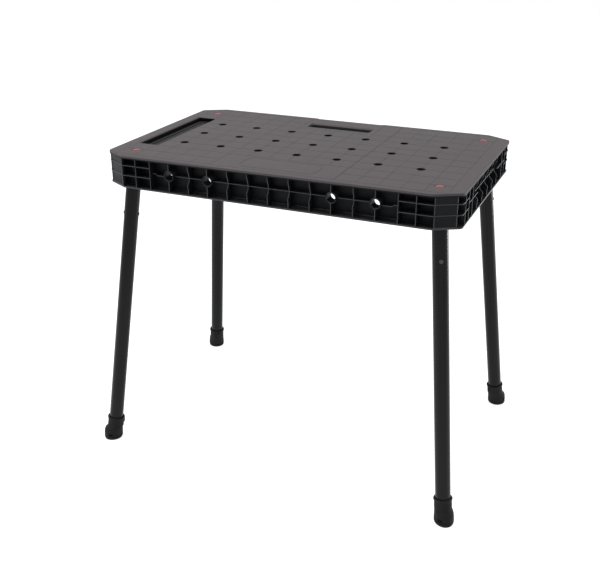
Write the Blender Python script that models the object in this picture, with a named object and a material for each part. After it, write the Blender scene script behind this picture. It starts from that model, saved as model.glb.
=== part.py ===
"""Portable workbench: ribbed moulded top with dog holes, four splayed plug-in legs and push buttons.

Metres, +Z up, floor at z = 0. +X runs along the top and -Y is the front.
"""

import math

import bmesh
import bpy
from mathutils import Matrix, Vector

# The top: a grid of dog holes with a plain border round it.
HOLE_PITCH = 0.096
HOLE_RADIUS = 0.010
HOLE_COLUMNS = 7
HOLE_ROWS = 3
END_BORDER = 0.030
SIDE_BORDER = 0.015
TOP_THICKNESS = 0.075
BENCH_HEIGHT = 0.745
CORNER_CUT_X = 0.056
CORNER_CUT_Y = 0.031
LONG_EDGE_ROUNDING = 0.025
SHORT_EDGE_ROUNDING = 0.012

# Deck moulding.
DECK_PLATE = 0.003
DECK_EDGE_CHAMFER = 0.0008
DECK_RIB = 0.0024
LONG_RIB_DEPTH = 0.0155
CROSS_RIB_DEPTH = 0.0145
HOLE_BOSS_WALL = 0.0035
HOLE_BOSS_DEPTH = 0.0175
TRAY_WIDTH = 0.046
TRAY_LENGTH = 0.288
TRAY_DEPTH = 0.011
TRAY_WALL = 0.0025
TRAY_STEP_WIDTH = 0.012
TRAY_STEP_HEIGHT = 0.0015
HANDLE_LENGTH = 0.162
HANDLE_WIDTH = 0.036
HANDLE_BAR = 0.059
HANDLE_WALL = 0.0026
HANDLE_WALL_DEPTH = 0.0165
GRIP_INSET = 0.006
GRIP_LENGTH = 0.170

# Ribbed frame below the deck.
FRAME_TOP_FLANGE = 0.0014
FRAME_BOTTOM_FLANGE = 0.0035
FRAME_WEB = 0.003
FRAME_RIB = 0.0024
FRAME_SHELF_RIB = 0.0022
MIDDLE_SHELF_DEPTH = 0.035
UPPER_SHELF_DEPTH = 0.026
LOWER_SHELF_DEPTH = 0.049
SIDE_HOLE_RADIUS = 0.010
SIDE_HOLE_WALL = 0.0024
SIDE_HOLE_DEPTH = 0.036
CORNER_PANEL_LIP = 0.006
SHORT_SIDE_LIP = 0.020
NARROW_BAY = 0.010

# Legs.
LEG_INSET_X = 0.0578
LEG_INSET_Y = 0.0564
SPLAY_X = 0.104
SPLAY_Y = 0.107
TUBE_RADIUS = 0.0171
TUBE_WALL = 0.0015
SOCKET_WALL = 0.0022
SOCKET_DROP = 0.008
SOCKET_SHELF = 0.003
PLUG_WALL = 0.003
PLUG_LENGTH = 0.135
PLUG_COLLAR = 0.002
PIN_DEPTH = 0.150
PIN_RADIUS = 0.0025
PIN_HEAD_RADIUS = 0.0042
PIN_HEAD_HEIGHT = 0.0012
PIN_ANGLE = math.radians(-23)

# Feet.
FOOT_HEIGHT = 0.061
FOOT_WALL = 0.0025
FOOT_COLLAR = 0.0015
FOOT_COLLAR_HEIGHT = 0.0038
FOOT_FLOOR = 0.010
SHOE_RADIUS = 0.0238
SHOE_SHIFT = 0.0020
SHOE_TOP = 0.032
SHOE_GROOVE_BASE = 0.008
SHOE_GROOVE_HEIGHT = 0.0025
SHOE_GROOVE_DEPTH = 0.0013
SHOE_EDGE = 0.002

# Release buttons.
BUTTON_RADIUS = 0.010
BUTTON_CROWN = 0.0012
BUTTON_TRAVEL = 0.004
BUTTON_RIM = 0.0022
BUTTON_RIM_HEIGHT = 0.0015
BUTTON_STEM_RADIUS = 0.005
STEM_SHORTFALL = 0.0005
SPRING_SPACE = 0.0122
SPRING_WIRE = 0.00065
SPRING_RADIUS = 0.0072
SPRING_TURNS = 3.5
CUP_CLEARANCE = 0.0008

# Screws.
SCREW_RADIUS = 0.002
SCREW_HEAD_RADIUS = 0.004
SCREW_HEAD_HEIGHT = 0.0024
SCREW_LENGTH = 0.011
SCREW_BOSS_WALL = 0.0027
SCREW_BOSS_DEPTH = 0.019
TAB_THICKNESS = 0.003
TAB_WIDTH = 0.014
EAR_REACH = 0.030
EAR_WIDTH = 0.012
TAB_BESIDE_TRAY = 0.0207
BOSS_TO_WALL = 0.0039

# Named clearances.
SEAT_GAP = 0.0003
SLIDE_GAP = 0.0003
BUTTON_GAP = 0.0003
PRESS_MARGIN = 0.001

# Facets round each kind of piece.
TUBE_FACETS = 20
HOLE_FACETS = 16
SMALL_FACETS = 8
BUTTON_FACETS = 16
WIRE_FACETS = 5
COIL_FACETS = 8

# Sizes that follow from those above.
HALF_LENGTH = (HOLE_COLUMNS + 1) * HOLE_PITCH / 2 + END_BORDER
HALF_DEPTH = (HOLE_ROWS + 2) * HOLE_PITCH / 2 + SIDE_BORDER
LEG_X = HALF_LENGTH - LEG_INSET_X
LEG_Y = HALF_DEPTH - LEG_INSET_Y
TILT = math.atan(math.hypot(SPLAY_X, SPLAY_Y))
SOCKET_BORE = TUBE_RADIUS + SLIDE_GAP
SOCKET_RADIUS = SOCKET_BORE + SOCKET_WALL
SOCKET_REACH = SOCKET_RADIUS / math.cos(TILT)
FRAME_TOP = DECK_PLATE + SEAT_GAP
POCKET_TOP = FRAME_TOP + FRAME_TOP_FLANGE
POCKET_BASE = TOP_THICKNESS - FRAME_BOTTOM_FLANGE
WALL_INSET_Y = LEG_INSET_Y - SPLAY_Y * TOP_THICKNESS - SOCKET_REACH - 2 * SEAT_GAP
WALL_INSET_X = min(WALL_INSET_Y, LEG_INSET_X - SPLAY_X * TOP_THICKNESS - SOCKET_REACH)
BUTTON_HOLE = BUTTON_RADIUS + BUTTON_GAP
CUP_RADIUS = BUTTON_RADIUS + BUTTON_RIM + CUP_CLEARANCE
RIM_TOP = DECK_PLATE + BUTTON_GAP
RIM_BASE = RIM_TOP + BUTTON_RIM_HEIGHT
SHELF_TOP = RIM_BASE + SPRING_SPACE
SHELF_BASE = SHELF_TOP + SOCKET_SHELF
STEM_END = SHELF_BASE - STEM_SHORTFALL
LEG_TOP = STEM_END + BUTTON_TRAVEL + PRESS_MARGIN
SCREW_HOLE = SCREW_RADIUS + SEAT_GAP
SCREW_BOSS = SCREW_HOLE + SCREW_BOSS_WALL
TAB_TOP = SCREW_BOSS_DEPTH + SEAT_GAP
TAB_BASE = TAB_TOP + TAB_THICKNESS
CORNERS = {"fl": (-1, -1), "fr": (1, -1), "bl": (-1, 1), "br": (1, 1)}


def clear_scene():
    for item in list(bpy.data.objects):
        bpy.data.objects.remove(item, do_unlink=True)


def make_collection(name):
    made = bpy.data.collections.new(name)
    bpy.context.scene.collection.children.link(made)
    return made


def make_material(name, colour, roughness, metallic):
    made = bpy.data.materials.new(name)
    made.use_nodes = True
    shader = made.node_tree.nodes["Principled BSDF"]
    shader.inputs["Base Color"].default_value = (*colour, 1.0)
    shader.inputs["Roughness"].default_value = roughness
    shader.inputs["Metallic"].default_value = metallic
    return made


clear_scene()
PARTS = make_collection("workbench")
CUTTERS = make_collection("cutters")
CUTTERS.hide_render = True


def finish_mesh(build, name, material=None):
    """A mesh from the bmesh, with outward faces."""
    bmesh.ops.remove_doubles(build, verts=build.verts, dist=1e-7)
    bmesh.ops.recalc_face_normals(build, faces=build.faces)
    mesh = bpy.data.meshes.new(name)
    build.to_mesh(mesh)
    build.free()
    if material:
        mesh.materials.append(material)
    return mesh


def smooth_round(mesh, angle=math.radians(35)):
    mesh.shade_smooth()
    mesh.set_sharp_from_angle(angle=angle)


def place(name, mesh, matrix=None):
    made = bpy.data.objects.new(name, mesh)
    PARTS.objects.link(made)
    if matrix is not None:
        made.matrix_world = matrix
    return made


def cutter(name, build):
    made = bpy.data.objects.new(name, finish_mesh(build, name))
    CUTTERS.objects.link(made)
    made.hide_render = True
    made.display_type = "WIRE"
    return made


def boolean(target, operation, other):
    step = target.modifiers.new(other.name, "BOOLEAN")
    step.operation = operation
    step.solver = "EXACT"
    step.object = other


def add_box(build, low, high, matrix=None):
    size = [b - a for a, b in zip(low, high)]
    middle = [(a + b) / 2 for a, b in zip(low, high)]
    shape = Matrix.Translation(middle) @ Matrix.Diagonal((*size, 1.0))
    if matrix is not None:
        shape = matrix @ shape
    bmesh.ops.create_cube(build, size=1.0, matrix=shape)


def add_cylinder(build, radius, start, end, facets):
    start, end = Vector(start), Vector(end)
    along = end - start
    turn = along.to_track_quat("Z", "Y").to_matrix().to_4x4()
    bmesh.ops.create_cone(
        build,
        cap_ends=True,
        segments=facets,
        radius1=radius,
        radius2=radius,
        depth=along.length,
        matrix=Matrix.Translation((start + end) / 2) @ turn,
    )


def add_loft(build, rings, closed=False):
    """Quads between rings of equal length. The ends are capped, or joined to each other."""
    made = [[build.verts.new(point) for point in ring] for ring in rings]
    count = len(made[0])
    pairs = list(zip(made, made[1:]))
    if closed:
        pairs.append((made[-1], made[0]))
    for low, high in pairs:
        for k in range(count):
            after = (k + 1) % count
            build.faces.new((low[k], low[after], high[after], high[k]))
    if not closed:
        build.faces.new(made[0])
        build.faces.new(made[-1])


def circle(radius, z, facets, centre_x=0.0):
    ring = []
    for k in range(facets):
        angle = 2 * math.pi * k / facets
        ring.append((centre_x + radius * math.cos(angle), radius * math.sin(angle), z))
    return ring


def add_lathe(build, profile, facets, closed=False):
    """A turned solid about the Z axis from (radius, z) pairs."""
    add_loft(build, [circle(radius, z, facets) for radius, z in profile], closed)


def level_circle(radius, z, facets):
    """Where a leg-frame cylinder meets the level plane z below the top, in the leg frame."""
    ring = []
    for x, y, _ in circle(radius, 0.0, facets):
        ring.append((x, y, (z - x * math.sin(TILT)) / math.cos(TILT)))
    return ring


def upright_circle(radius, z, facets):
    """A level circle round the button's upright axis, in the leg frame."""
    lean = Matrix.Rotation(TILT, 3, "Y")
    return [tuple(lean @ Vector(point)) for point in circle(radius, z, facets)]


def fillet(before, corner, after, radius, segments):
    """Points of a round corner between two straight edges."""
    corner = Vector(corner)
    back = (Vector(before) - corner).normalized()
    ahead = (Vector(after) - corner).normalized()
    half = back.angle(ahead) / 2
    centre = corner + (back + ahead).normalized() * (radius / math.sin(half))
    start = corner + back * (radius / math.tan(half)) - centre
    end = corner + ahead * (radius / math.tan(half)) - centre
    sweep = start.angle_signed(end)
    points = []
    for k in range(segments + 1):
        turned = start.copy()
        turned.rotate(Matrix.Rotation(-sweep * k / segments, 2))
        points.append(tuple(centre + turned))
    return points


def corner_normal():
    length = math.hypot(CORNER_CUT_X, CORNER_CUT_Y)
    return Vector((CORNER_CUT_Y / length, CORNER_CUT_X / length))


def cut_corner(inset_x, inset_y, inset_cut):
    """The two ends of the corner cut in the +X +Y quadrant, set in by the given amounts."""
    normal = corner_normal()
    start = Vector((HALF_LENGTH - CORNER_CUT_X, HALF_DEPTH))
    reach = normal.dot(start) - inset_cut
    y = HALF_DEPTH - inset_y
    x = HALF_LENGTH - inset_x
    return ((reach - normal.y * y) / normal.x, y), (x, (reach - normal.x * x) / normal.y)


def outline(inset=0.0):
    """The top's outline with its cut and rounded corners, anticlockwise."""
    near, far = cut_corner(inset, inset, inset)
    long_radius = LONG_EDGE_ROUNDING - inset
    short_radius = SHORT_EDGE_ROUNDING - inset
    quadrant = fillet((far[0], 0.0), far, near, short_radius, 3)
    quadrant += fillet(far, near, (0.0, near[1]), long_radius, 4)
    mirrored = [(-x, y) for x, y in reversed(quadrant)]
    upper = quadrant + mirrored
    return upper + [(-x, -y) for x, y in upper]


def cavity_outline():
    """The frame's inner wall: a rectangle with its corners cut back to clear the leg sockets."""
    axis = Vector((LEG_X + SPLAY_X * TOP_THICKNESS, LEG_Y + SPLAY_Y * TOP_THICKNESS))
    edge = Vector((HALF_LENGTH - CORNER_CUT_X, HALF_DEPTH))
    room = corner_normal().dot(edge - axis) - SOCKET_REACH - 2 * SEAT_GAP
    near, far = cut_corner(WALL_INSET_X, WALL_INSET_Y, room)
    upper = [far, near, (-near[0], near[1]), (-far[0], far[1])]
    return upper + [(-x, -y) for x, y in upper], room


def top_z(depth):
    return BENCH_HEIGHT - depth


def ring_at(points, depth):
    return [(x, y, top_z(depth)) for x, y in points]


def corner_places(reach_x, reach_y):
    return [(sx * reach_x, sy * reach_y) for sx, sy in CORNERS.values()]


def leg_angle(corner):
    sx, sy = CORNERS[corner]
    return math.atan2(sy * SPLAY_Y, sx * SPLAY_X)


def leg_foot_point(corner, depth):
    sx, sy = CORNERS[corner]
    return Vector((sx * (LEG_X + SPLAY_X * depth), sy * (LEG_Y + SPLAY_Y * depth), top_z(depth)))


def upright_frame(corner, depth=0.0):
    """Level frame on the leg axis with its X axis pointing outward."""
    return Matrix.Translation(leg_foot_point(corner, depth)) @ Matrix.Rotation(
        leg_angle(corner), 4, "Z"
    )


def leg_frame(corner):
    """Frame on the leg axis at the top's surface with its Z axis along the leg."""
    return upright_frame(corner) @ Matrix.Rotation(-TILT, 4, "Y")


def ear_places():
    """The two screws of a socket, in its upright frame."""
    places = []
    for turn in (-0.75, 0.75):
        angle = turn * math.pi
        places.append((EAR_REACH * math.cos(angle), EAR_REACH * math.sin(angle)))
    return places


def socket_screw_places():
    found = []
    for corner in CORNERS:
        frame = upright_frame(corner)
        for x, y in ear_places():
            point = frame @ Vector((x, y, 0.0))
            found.append((point.x, point.y))
    return found


def frame_screw_places():
    wall_y = HALF_DEPTH - WALL_INSET_Y
    wall_x = HALF_LENGTH - WALL_INSET_X
    reach = SCREW_BOSS + BOSS_TO_WALL
    found = []
    for sy in (-1, 1):
        for column in (-2, 0, 2):
            found.append((column * HOLE_PITCH, sy * (wall_y - reach)))
        for sx in (-1, 1):
            found.append((sx * (wall_x - reach), sy * (TRAY_LENGTH / 2 + TAB_BESIDE_TRAY)))
    return found


def hole_places():
    found = []
    for column in range(HOLE_COLUMNS):
        for row in range(HOLE_ROWS):
            x = (column - (HOLE_COLUMNS - 1) / 2) * HOLE_PITCH
            y = (row - (HOLE_ROWS - 1) / 2) * HOLE_PITCH
            found.append((x, y))
    return found


def tray_box():
    """Low and high X of the tray's opening, and its half length."""
    low = -(HALF_LENGTH - WALL_INSET_X - 2 * SEAT_GAP - TRAY_WALL)
    return low, low + TRAY_WIDTH, TRAY_LENGTH / 2


def handle_box():
    """Half length, low Y and high Y of the hand hole."""
    high = HALF_DEPTH - HANDLE_BAR
    return HANDLE_LENGTH / 2, high - HANDLE_WIDTH, high


def add_grip_cutter(build, low_depth, high_depth):
    """The shallow inset in the back edge behind the hand hole."""
    slope = GRIP_INSET
    near = HALF_DEPTH - GRIP_INSET
    far = HALF_DEPTH + GRIP_INSET
    half = GRIP_LENGTH / 2
    shape = [(-half, near), (half, near), (half + 2 * slope, far), (-half - 2 * slope, far)]
    add_loft(build, [ring_at(shape, low_depth), ring_at(shape, high_depth)])


def deck_cross_ribs(build):
    reach = HALF_DEPTH - WALL_INSET_Y - 2 * SEAT_GAP
    for column in range(1, HOLE_COLUMNS):
        x = (column - HOLE_COLUMNS / 2) * HOLE_PITCH
        low = (x - DECK_RIB / 2, -reach, top_z(CROSS_RIB_DEPTH))
        high = (x + DECK_RIB / 2, reach, top_z(DECK_PLATE / 2))
        add_box(build, low, high)


def deck_long_ribs(build):
    reach = HALF_LENGTH - WALL_INSET_X - 2 * SEAT_GAP
    for row in range(HOLE_ROWS + 1):
        y = (row - HOLE_ROWS / 2) * HOLE_PITCH
        low = (-reach, y - DECK_RIB / 2, top_z(LONG_RIB_DEPTH))
        high = (reach, y + DECK_RIB / 2, top_z(DECK_PLATE / 2))
        add_box(build, low, high)


def deck_walls(build):
    """Blocks round the tray and the hand hole, which are hollowed afterwards."""
    low, high, half = tray_box()
    base = top_z(TRAY_DEPTH + TRAY_WALL)
    roof = top_z(DECK_PLATE / 2)
    add_box(
        build,
        (low - TRAY_WALL, -half - TRAY_WALL, base),
        (high + TRAY_WALL, half + TRAY_WALL, roof),
    )
    reach, near, far = handle_box()
    add_box(
        build,
        (-reach - HANDLE_WALL, near - HANDLE_WALL, top_z(HANDLE_WALL_DEPTH)),
        (reach + HANDLE_WALL, far + HANDLE_WALL, roof),
    )


def deck_bosses(build):
    radius = HOLE_RADIUS + HOLE_BOSS_WALL
    roof = top_z(DECK_PLATE / 2)
    for x, y in hole_places():
        add_cylinder(build, radius, (x, y, top_z(HOLE_BOSS_DEPTH)), (x, y, roof), HOLE_FACETS)
    for x, y in frame_screw_places() + socket_screw_places():
        low = (x, y, top_z(SCREW_BOSS_DEPTH))
        add_cylinder(build, SCREW_BOSS, low, (x, y, roof), SMALL_FACETS)


def deck_openings(build):
    over = BENCH_HEIGHT + DECK_PLATE
    under = top_z(2 * HOLE_BOSS_DEPTH)
    for x, y in hole_places():
        add_cylinder(build, HOLE_RADIUS, (x, y, under), (x, y, over), HOLE_FACETS)
    for x, y in corner_places(LEG_X, LEG_Y):
        add_cylinder(build, BUTTON_HOLE, (x, y, under), (x, y, over), BUTTON_FACETS)
    for x, y in frame_screw_places() + socket_screw_places():
        roof = top_z(TAB_BASE - SCREW_LENGTH - PRESS_MARGIN)
        add_cylinder(build, SCREW_HOLE, (x, y, under), (x, y, roof), SMALL_FACETS)
    reach, near, far = handle_box()
    add_box(build, (-reach, near, under), (reach, far, over))
    add_grip_cutter(build, -DECK_PLATE, 2 * HOLE_BOSS_DEPTH)


def tray_hollow(build):
    """The tray's hollow, with a low step along its floor."""
    low, high, half = tray_box()
    floor = top_z(TRAY_DEPTH)
    step = floor + TRAY_STEP_HEIGHT
    edge = low + TRAY_STEP_WIDTH
    over = BENCH_HEIGHT + DECK_PLATE
    profile = [(low, step), (edge, step), (edge, floor), (high, floor), (high, over), (low, over)]
    add_loft(build, [[(x, y, z) for x, z in profile] for y in (-half, half)])


def make_deck(material):
    build = bmesh.new()
    rings = [
        ring_at(outline(DECK_EDGE_CHAMFER), 0.0),
        ring_at(outline(), DECK_EDGE_CHAMFER),
        ring_at(outline(), DECK_PLATE),
    ]
    add_loft(build, rings)
    deck = place("deck_top", finish_mesh(build, "deck_top", material))
    steps = (
        ("UNION", "deck_cross_ribs", deck_cross_ribs),
        ("UNION", "deck_long_ribs", deck_long_ribs),
        ("UNION", "deck_walls", deck_walls),
        ("UNION", "deck_bosses", deck_bosses),
        ("DIFFERENCE", "deck_tray", tray_hollow),
        ("DIFFERENCE", "deck_openings", deck_openings),
    )
    apply_steps(deck, steps)
    return deck


def apply_steps(target, steps):
    for operation, name, fill in steps:
        build = bmesh.new()
        fill(build)
        boolean(target, operation, cutter(name, build))


def long_rib_places():
    """Upright ribs on the long edges: every half pitch, then two closer bays to the corner cut."""
    last = (HOLE_COLUMNS - 1) / 2 * HOLE_PITCH
    count = 2 * (HOLE_COLUMNS - 1)
    middle = [-last + k * HOLE_PITCH / 2 for k in range(count + 1)]
    end = HALF_LENGTH - CORNER_CUT_X + CORNER_PANEL_LIP - FRAME_RIB / 2
    return middle, [last, (last + end) / 2, end]


def short_rib_places():
    last = (HOLE_ROWS / 2) * HOLE_PITCH
    count = 2 * HOLE_ROWS
    middle = [-last + k * HOLE_PITCH / 2 for k in range(count + 1)]
    end = HALF_DEPTH - CORNER_CUT_Y - SHORT_SIDE_LIP
    return middle, [last, (last + end) / 2, end]


def shelf_rows(depths):
    """Top and bottom of each row of pockets between the given shelves."""
    edges = [POCKET_TOP]
    for depth in depths:
        edges += [depth - FRAME_SHELF_RIB / 2, depth + FRAME_SHELF_RIB / 2]
    edges.append(POCKET_BASE)
    return list(zip(edges[::2], edges[1::2]))


def pocket_bays(places):
    middle, corner = places
    half = FRAME_RIB / 2
    bays = []
    for a, b in zip(middle, middle[1:]):
        for row in shelf_rows([MIDDLE_SHELF_DEPTH]):
            bays.append((a + half, b - half, row))
    for a, b in zip(corner, corner[1:]):
        for row in shelf_rows([UPPER_SHELF_DEPTH, LOWER_SHELF_DEPTH]):
            bays.append((a + half, b - half, row))
            bays.append((-b + half, -a - half, row))
    return bays


def frame_pockets(build):
    wall_y = HALF_DEPTH - WALL_INSET_Y + FRAME_WEB
    wall_x = HALF_LENGTH - WALL_INSET_X + FRAME_WEB
    for low, high, (roof, base) in pocket_bays(long_rib_places()):
        for sy in (-1, 1):
            near, far = sorted((sy * wall_y, sy * (HALF_DEPTH + FRAME_WEB)))
            add_box(build, (low, near, top_z(base)), (high, far, top_z(roof)))
    for low, high, (roof, base) in pocket_bays(short_rib_places()):
        for sx in (-1, 1):
            near, far = sorted((sx * wall_x, sx * (HALF_LENGTH + FRAME_WEB)))
            add_box(build, (near, low, top_z(base)), (far, high, top_z(roof)))


def corner_panels(build):
    """Shallow recesses on the corner cuts, each with two shelves, and a narrow bay beside it."""
    _, room = cavity_outline()
    depth = room - FRAME_WEB
    length = math.hypot(CORNER_CUT_X, CORNER_CUT_Y)
    lean = depth * CORNER_CUT_Y / CORNER_CUT_X
    end = length - FRAME_RIB
    spans = [
        (CORNER_PANEL_LIP + FRAME_RIB + lean, end - NARROW_BAY - FRAME_RIB),
        (end - NARROW_BAY, end),
    ]
    angle = -math.atan2(CORNER_CUT_Y, CORNER_CUT_X)
    start = Vector((HALF_LENGTH - CORNER_CUT_X, HALF_DEPTH, 0.0))
    along = Matrix.Translation(start) @ Matrix.Rotation(angle, 4, "Z")
    for sx, sy in CORNERS.values():
        flip = Matrix.Diagonal((sx, sy, 1.0, 1.0))
        for low, high in spans:
            for roof, base in shelf_rows([UPPER_SHELF_DEPTH, LOWER_SHELF_DEPTH]):
                add_box(
                    build,
                    (low, -depth, top_z(base)),
                    (high, FRAME_WEB, top_z(roof)),
                    flip @ along,
                )


def side_hole_places():
    return [column * HOLE_PITCH for column in (-2.5, -1.5, 1.5, 2.5)]


def add_side_holes(build, radius, inner, outer):
    z = top_z(SIDE_HOLE_DEPTH)
    for x in side_hole_places():
        for sy in (-1, 1):
            add_cylinder(build, radius, (x, sy * inner, z), (x, sy * outer, z), HOLE_FACETS)


def side_hole_bosses(build):
    wall = HALF_DEPTH - WALL_INSET_Y
    outer = HALF_DEPTH - 2 * SEAT_GAP
    add_side_holes(build, SIDE_HOLE_RADIUS + SIDE_HOLE_WALL, wall + FRAME_WEB / 2, outer)


def side_hole_bores(build):
    wall = HALF_DEPTH - WALL_INSET_Y
    add_side_holes(build, SIDE_HOLE_RADIUS, wall - FRAME_WEB, HALF_DEPTH + FRAME_WEB)


def frame_tabs(build):
    """Screw tabs on the inside of the frame."""
    wall_y = HALF_DEPTH - WALL_INSET_Y + FRAME_WEB / 2
    wall_x = HALF_LENGTH - WALL_INSET_X + FRAME_WEB / 2
    half = TAB_WIDTH / 2
    for x, y in frame_screw_places():
        if abs(x) > HALF_LENGTH - WALL_INSET_X - TAB_WIDTH:
            inner, outer = abs(x) - half, wall_x
            near, far = sorted((math.copysign(inner, x), math.copysign(outer, x)))
            low, high = (near, y - half), (far, y + half)
        else:
            inner, outer = abs(y) - half, wall_y
            near, far = sorted((math.copysign(inner, y), math.copysign(outer, y)))
            low, high = (x - half, near), (x + half, far)
        add_box(build, (*low, top_z(TAB_BASE)), (*high, top_z(TAB_TOP)))


def frame_screw_holes(build):
    for x, y in frame_screw_places():
        low = (x, y, top_z(TAB_BASE + TAB_THICKNESS))
        high = (x, y, top_z(TAB_TOP - TAB_THICKNESS))
        add_cylinder(build, SCREW_HOLE, low, high, SMALL_FACETS)


def frame_cavity(build):
    points, _ = cavity_outline()
    add_loft(build, [ring_at(points, TOP_THICKNESS + FRAME_WEB), ring_at(points, 0.0)])


def frame_grip(build):
    add_grip_cutter(build, 0.0, TOP_THICKNESS + FRAME_WEB)


def make_frame(material):
    build = bmesh.new()
    add_loft(build, [ring_at(outline(), FRAME_TOP), ring_at(outline(), TOP_THICKNESS)])
    frame = place("edge_frame", finish_mesh(build, "edge_frame", material))
    steps = (
        ("DIFFERENCE", "frame_cavity", frame_cavity),
        ("DIFFERENCE", "frame_pockets", frame_pockets),
        ("DIFFERENCE", "frame_corner_panels", corner_panels),
        ("UNION", "frame_side_bosses", side_hole_bosses),
        ("UNION", "frame_tabs", frame_tabs),
        ("DIFFERENCE", "frame_side_bores", side_hole_bores),
        ("DIFFERENCE", "frame_screw_holes", frame_screw_holes),
        ("DIFFERENCE", "frame_grip", frame_grip),
    )
    apply_steps(frame, steps)
    return frame


def screw_mesh(material):
    """Pan-head screw, driven upward. Its origin is on its axis at the top's surface."""
    seat = TAB_BASE + SEAT_GAP
    tip = TAB_BASE - SCREW_LENGTH
    profile = [
        (SCREW_HEAD_RADIUS, -seat - SCREW_HEAD_HEIGHT),
        (SCREW_HEAD_RADIUS, -seat),
        (SCREW_RADIUS, -seat),
        (SCREW_RADIUS, -tip),
    ]
    build = bmesh.new()
    add_lathe(build, profile, SMALL_FACETS)
    mesh = finish_mesh(build, "screw", material)
    smooth_round(mesh)
    return mesh


def make_screws(material):
    screw = screw_mesh(material)
    groups = (("frame_screw", frame_screw_places()), ("socket_screw", socket_screw_places()))
    for name, places in groups:
        for number, (x, y) in enumerate(places, 1):
            place(f"{name}_{number}", screw, Matrix.Translation((x, y, BENCH_HEIGHT)))


def socket_mesh(material):
    """Moulded corner socket: a tube for the leg with the button's spring cup on top of it."""
    facets = TUBE_FACETS
    leg_roof = -LEG_TOP / math.cos(TILT) + PLUG_COLLAR
    mouth = -(TOP_THICKNESS + SOCKET_DROP) / math.cos(TILT)
    stem_hole = BUTTON_STEM_RADIUS + SLIDE_GAP
    rings = [
        level_circle(SOCKET_RADIUS, -FRAME_TOP, facets),
        circle(SOCKET_RADIUS, mouth, facets),
        circle(SOCKET_BORE, mouth, facets),
        circle(SOCKET_BORE, leg_roof, facets),
        upright_circle(stem_hole, -SHELF_BASE, facets),
        upright_circle(stem_hole, -SHELF_TOP, facets),
        upright_circle(CUP_RADIUS, -SHELF_TOP, facets),
        upright_circle(CUP_RADIUS, -FRAME_TOP, facets),
    ]
    build = bmesh.new()
    add_loft(build, rings, closed=True)
    return finish_mesh(build, "leg_socket", material)


def socket_ears(build):
    """Two flat ears that the socket's screws pass through, in the leg frame."""
    lean = Matrix.Rotation(TILT, 4, "Y")
    inner = CUP_RADIUS + SOCKET_WALL
    for x, y in ear_places():
        turn = Matrix.Rotation(math.atan2(y, x), 4, "Z")
        low = (inner, -EAR_WIDTH / 2, -TAB_BASE)
        high = (EAR_REACH + EAR_WIDTH / 2, EAR_WIDTH / 2, -TAB_TOP)
        add_box(build, low, high, lean @ turn)


def socket_ear_holes(build):
    lean = Matrix.Rotation(TILT, 3, "Y")
    for x, y in ear_places():
        low = lean @ Vector((x, y, -TAB_BASE - TAB_THICKNESS))
        high = lean @ Vector((x, y, -TAB_TOP + TAB_THICKNESS))
        add_cylinder(build, SCREW_HOLE, low, high, SMALL_FACETS)


def make_sockets(material):
    for corner in CORNERS:
        socket = place(f"leg_socket_{corner}", socket_mesh(material), leg_frame(corner))
        for operation, name, fill in (
            ("UNION", "ears", socket_ears),
            ("DIFFERENCE", "ear_holes", socket_ear_holes),
        ):
            build = bmesh.new()
            fill(build)
            helper = cutter(f"socket_{name}_{corner}", build)
            helper.matrix_world = leg_frame(corner)
            boolean(socket, operation, helper)


def button_mesh(material):
    """Domed push button with a retaining rim and a guide stem. Its origin is at the top's surface."""
    radius = BUTTON_RADIUS
    profile = [
        (radius * 0.30, BUTTON_CROWN),
        (radius * 0.66, BUTTON_CROWN * 0.72),
        (radius * 0.90, BUTTON_CROWN * 0.15),
        (radius, -BUTTON_CROWN * 0.8),
        (radius, -RIM_TOP),
        (radius + BUTTON_RIM, -RIM_TOP),
        (radius + BUTTON_RIM, -RIM_BASE),
        (BUTTON_STEM_RADIUS, -RIM_BASE),
        (BUTTON_STEM_RADIUS, -STEM_END),
    ]
    build = bmesh.new()
    add_lathe(build, profile, BUTTON_FACETS)
    mesh = finish_mesh(build, "release_button", material)
    smooth_round(mesh)
    return mesh


def spring_mesh(material):
    """Round-wire coil that stands on the socket's shelf."""
    low = -SHELF_TOP + SEAT_GAP + SPRING_WIRE
    high = -RIM_BASE - SEAT_GAP - SPRING_WIRE
    steps = int(COIL_FACETS * SPRING_TURNS)
    rings = []
    for k in range(steps + 1):
        angle = 2 * math.pi * SPRING_TURNS * k / steps
        outward = Vector((math.cos(angle), math.sin(angle), 0.0))
        centre = outward * SPRING_RADIUS + Vector((0.0, 0.0, low + (high - low) * k / steps))
        ring = []
        for j in range(WIRE_FACETS):
            around = 2 * math.pi * j / WIRE_FACETS
            offset = outward * math.cos(around) + Vector((0.0, 0.0, math.sin(around)))
            ring.append(tuple(centre + offset * SPRING_WIRE))
        rings.append(ring)
    build = bmesh.new()
    add_loft(build, rings)
    mesh = finish_mesh(build, "button_spring", material)
    smooth_round(mesh, math.radians(75))
    return mesh


def leg_length(depth):
    """Distance along the leg from the top's surface to the given depth below it."""
    return depth / math.cos(TILT)


def tube_mesh(material):
    start = -leg_length(LEG_TOP) - PLUG_COLLAR - SEAT_GAP
    end = -leg_length(BENCH_HEIGHT - FOOT_FLOOR) + SEAT_GAP
    inner = TUBE_RADIUS - TUBE_WALL
    build = bmesh.new()
    profile = [(TUBE_RADIUS, start), (TUBE_RADIUS, end), (inner, end), (inner, start)]
    add_lathe(build, profile, TUBE_FACETS, closed=True)
    return finish_mesh(build, "leg_tube", material)


def tube_pin_holes(build):
    along = Vector((math.cos(PIN_ANGLE), math.sin(PIN_ANGLE), 0.0))
    middle = Vector((0.0, 0.0, -leg_length(PIN_DEPTH)))
    reach = along * 2 * TUBE_RADIUS
    add_cylinder(build, PIN_RADIUS + SEAT_GAP, middle - reach, middle + reach, SMALL_FACETS)


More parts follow.
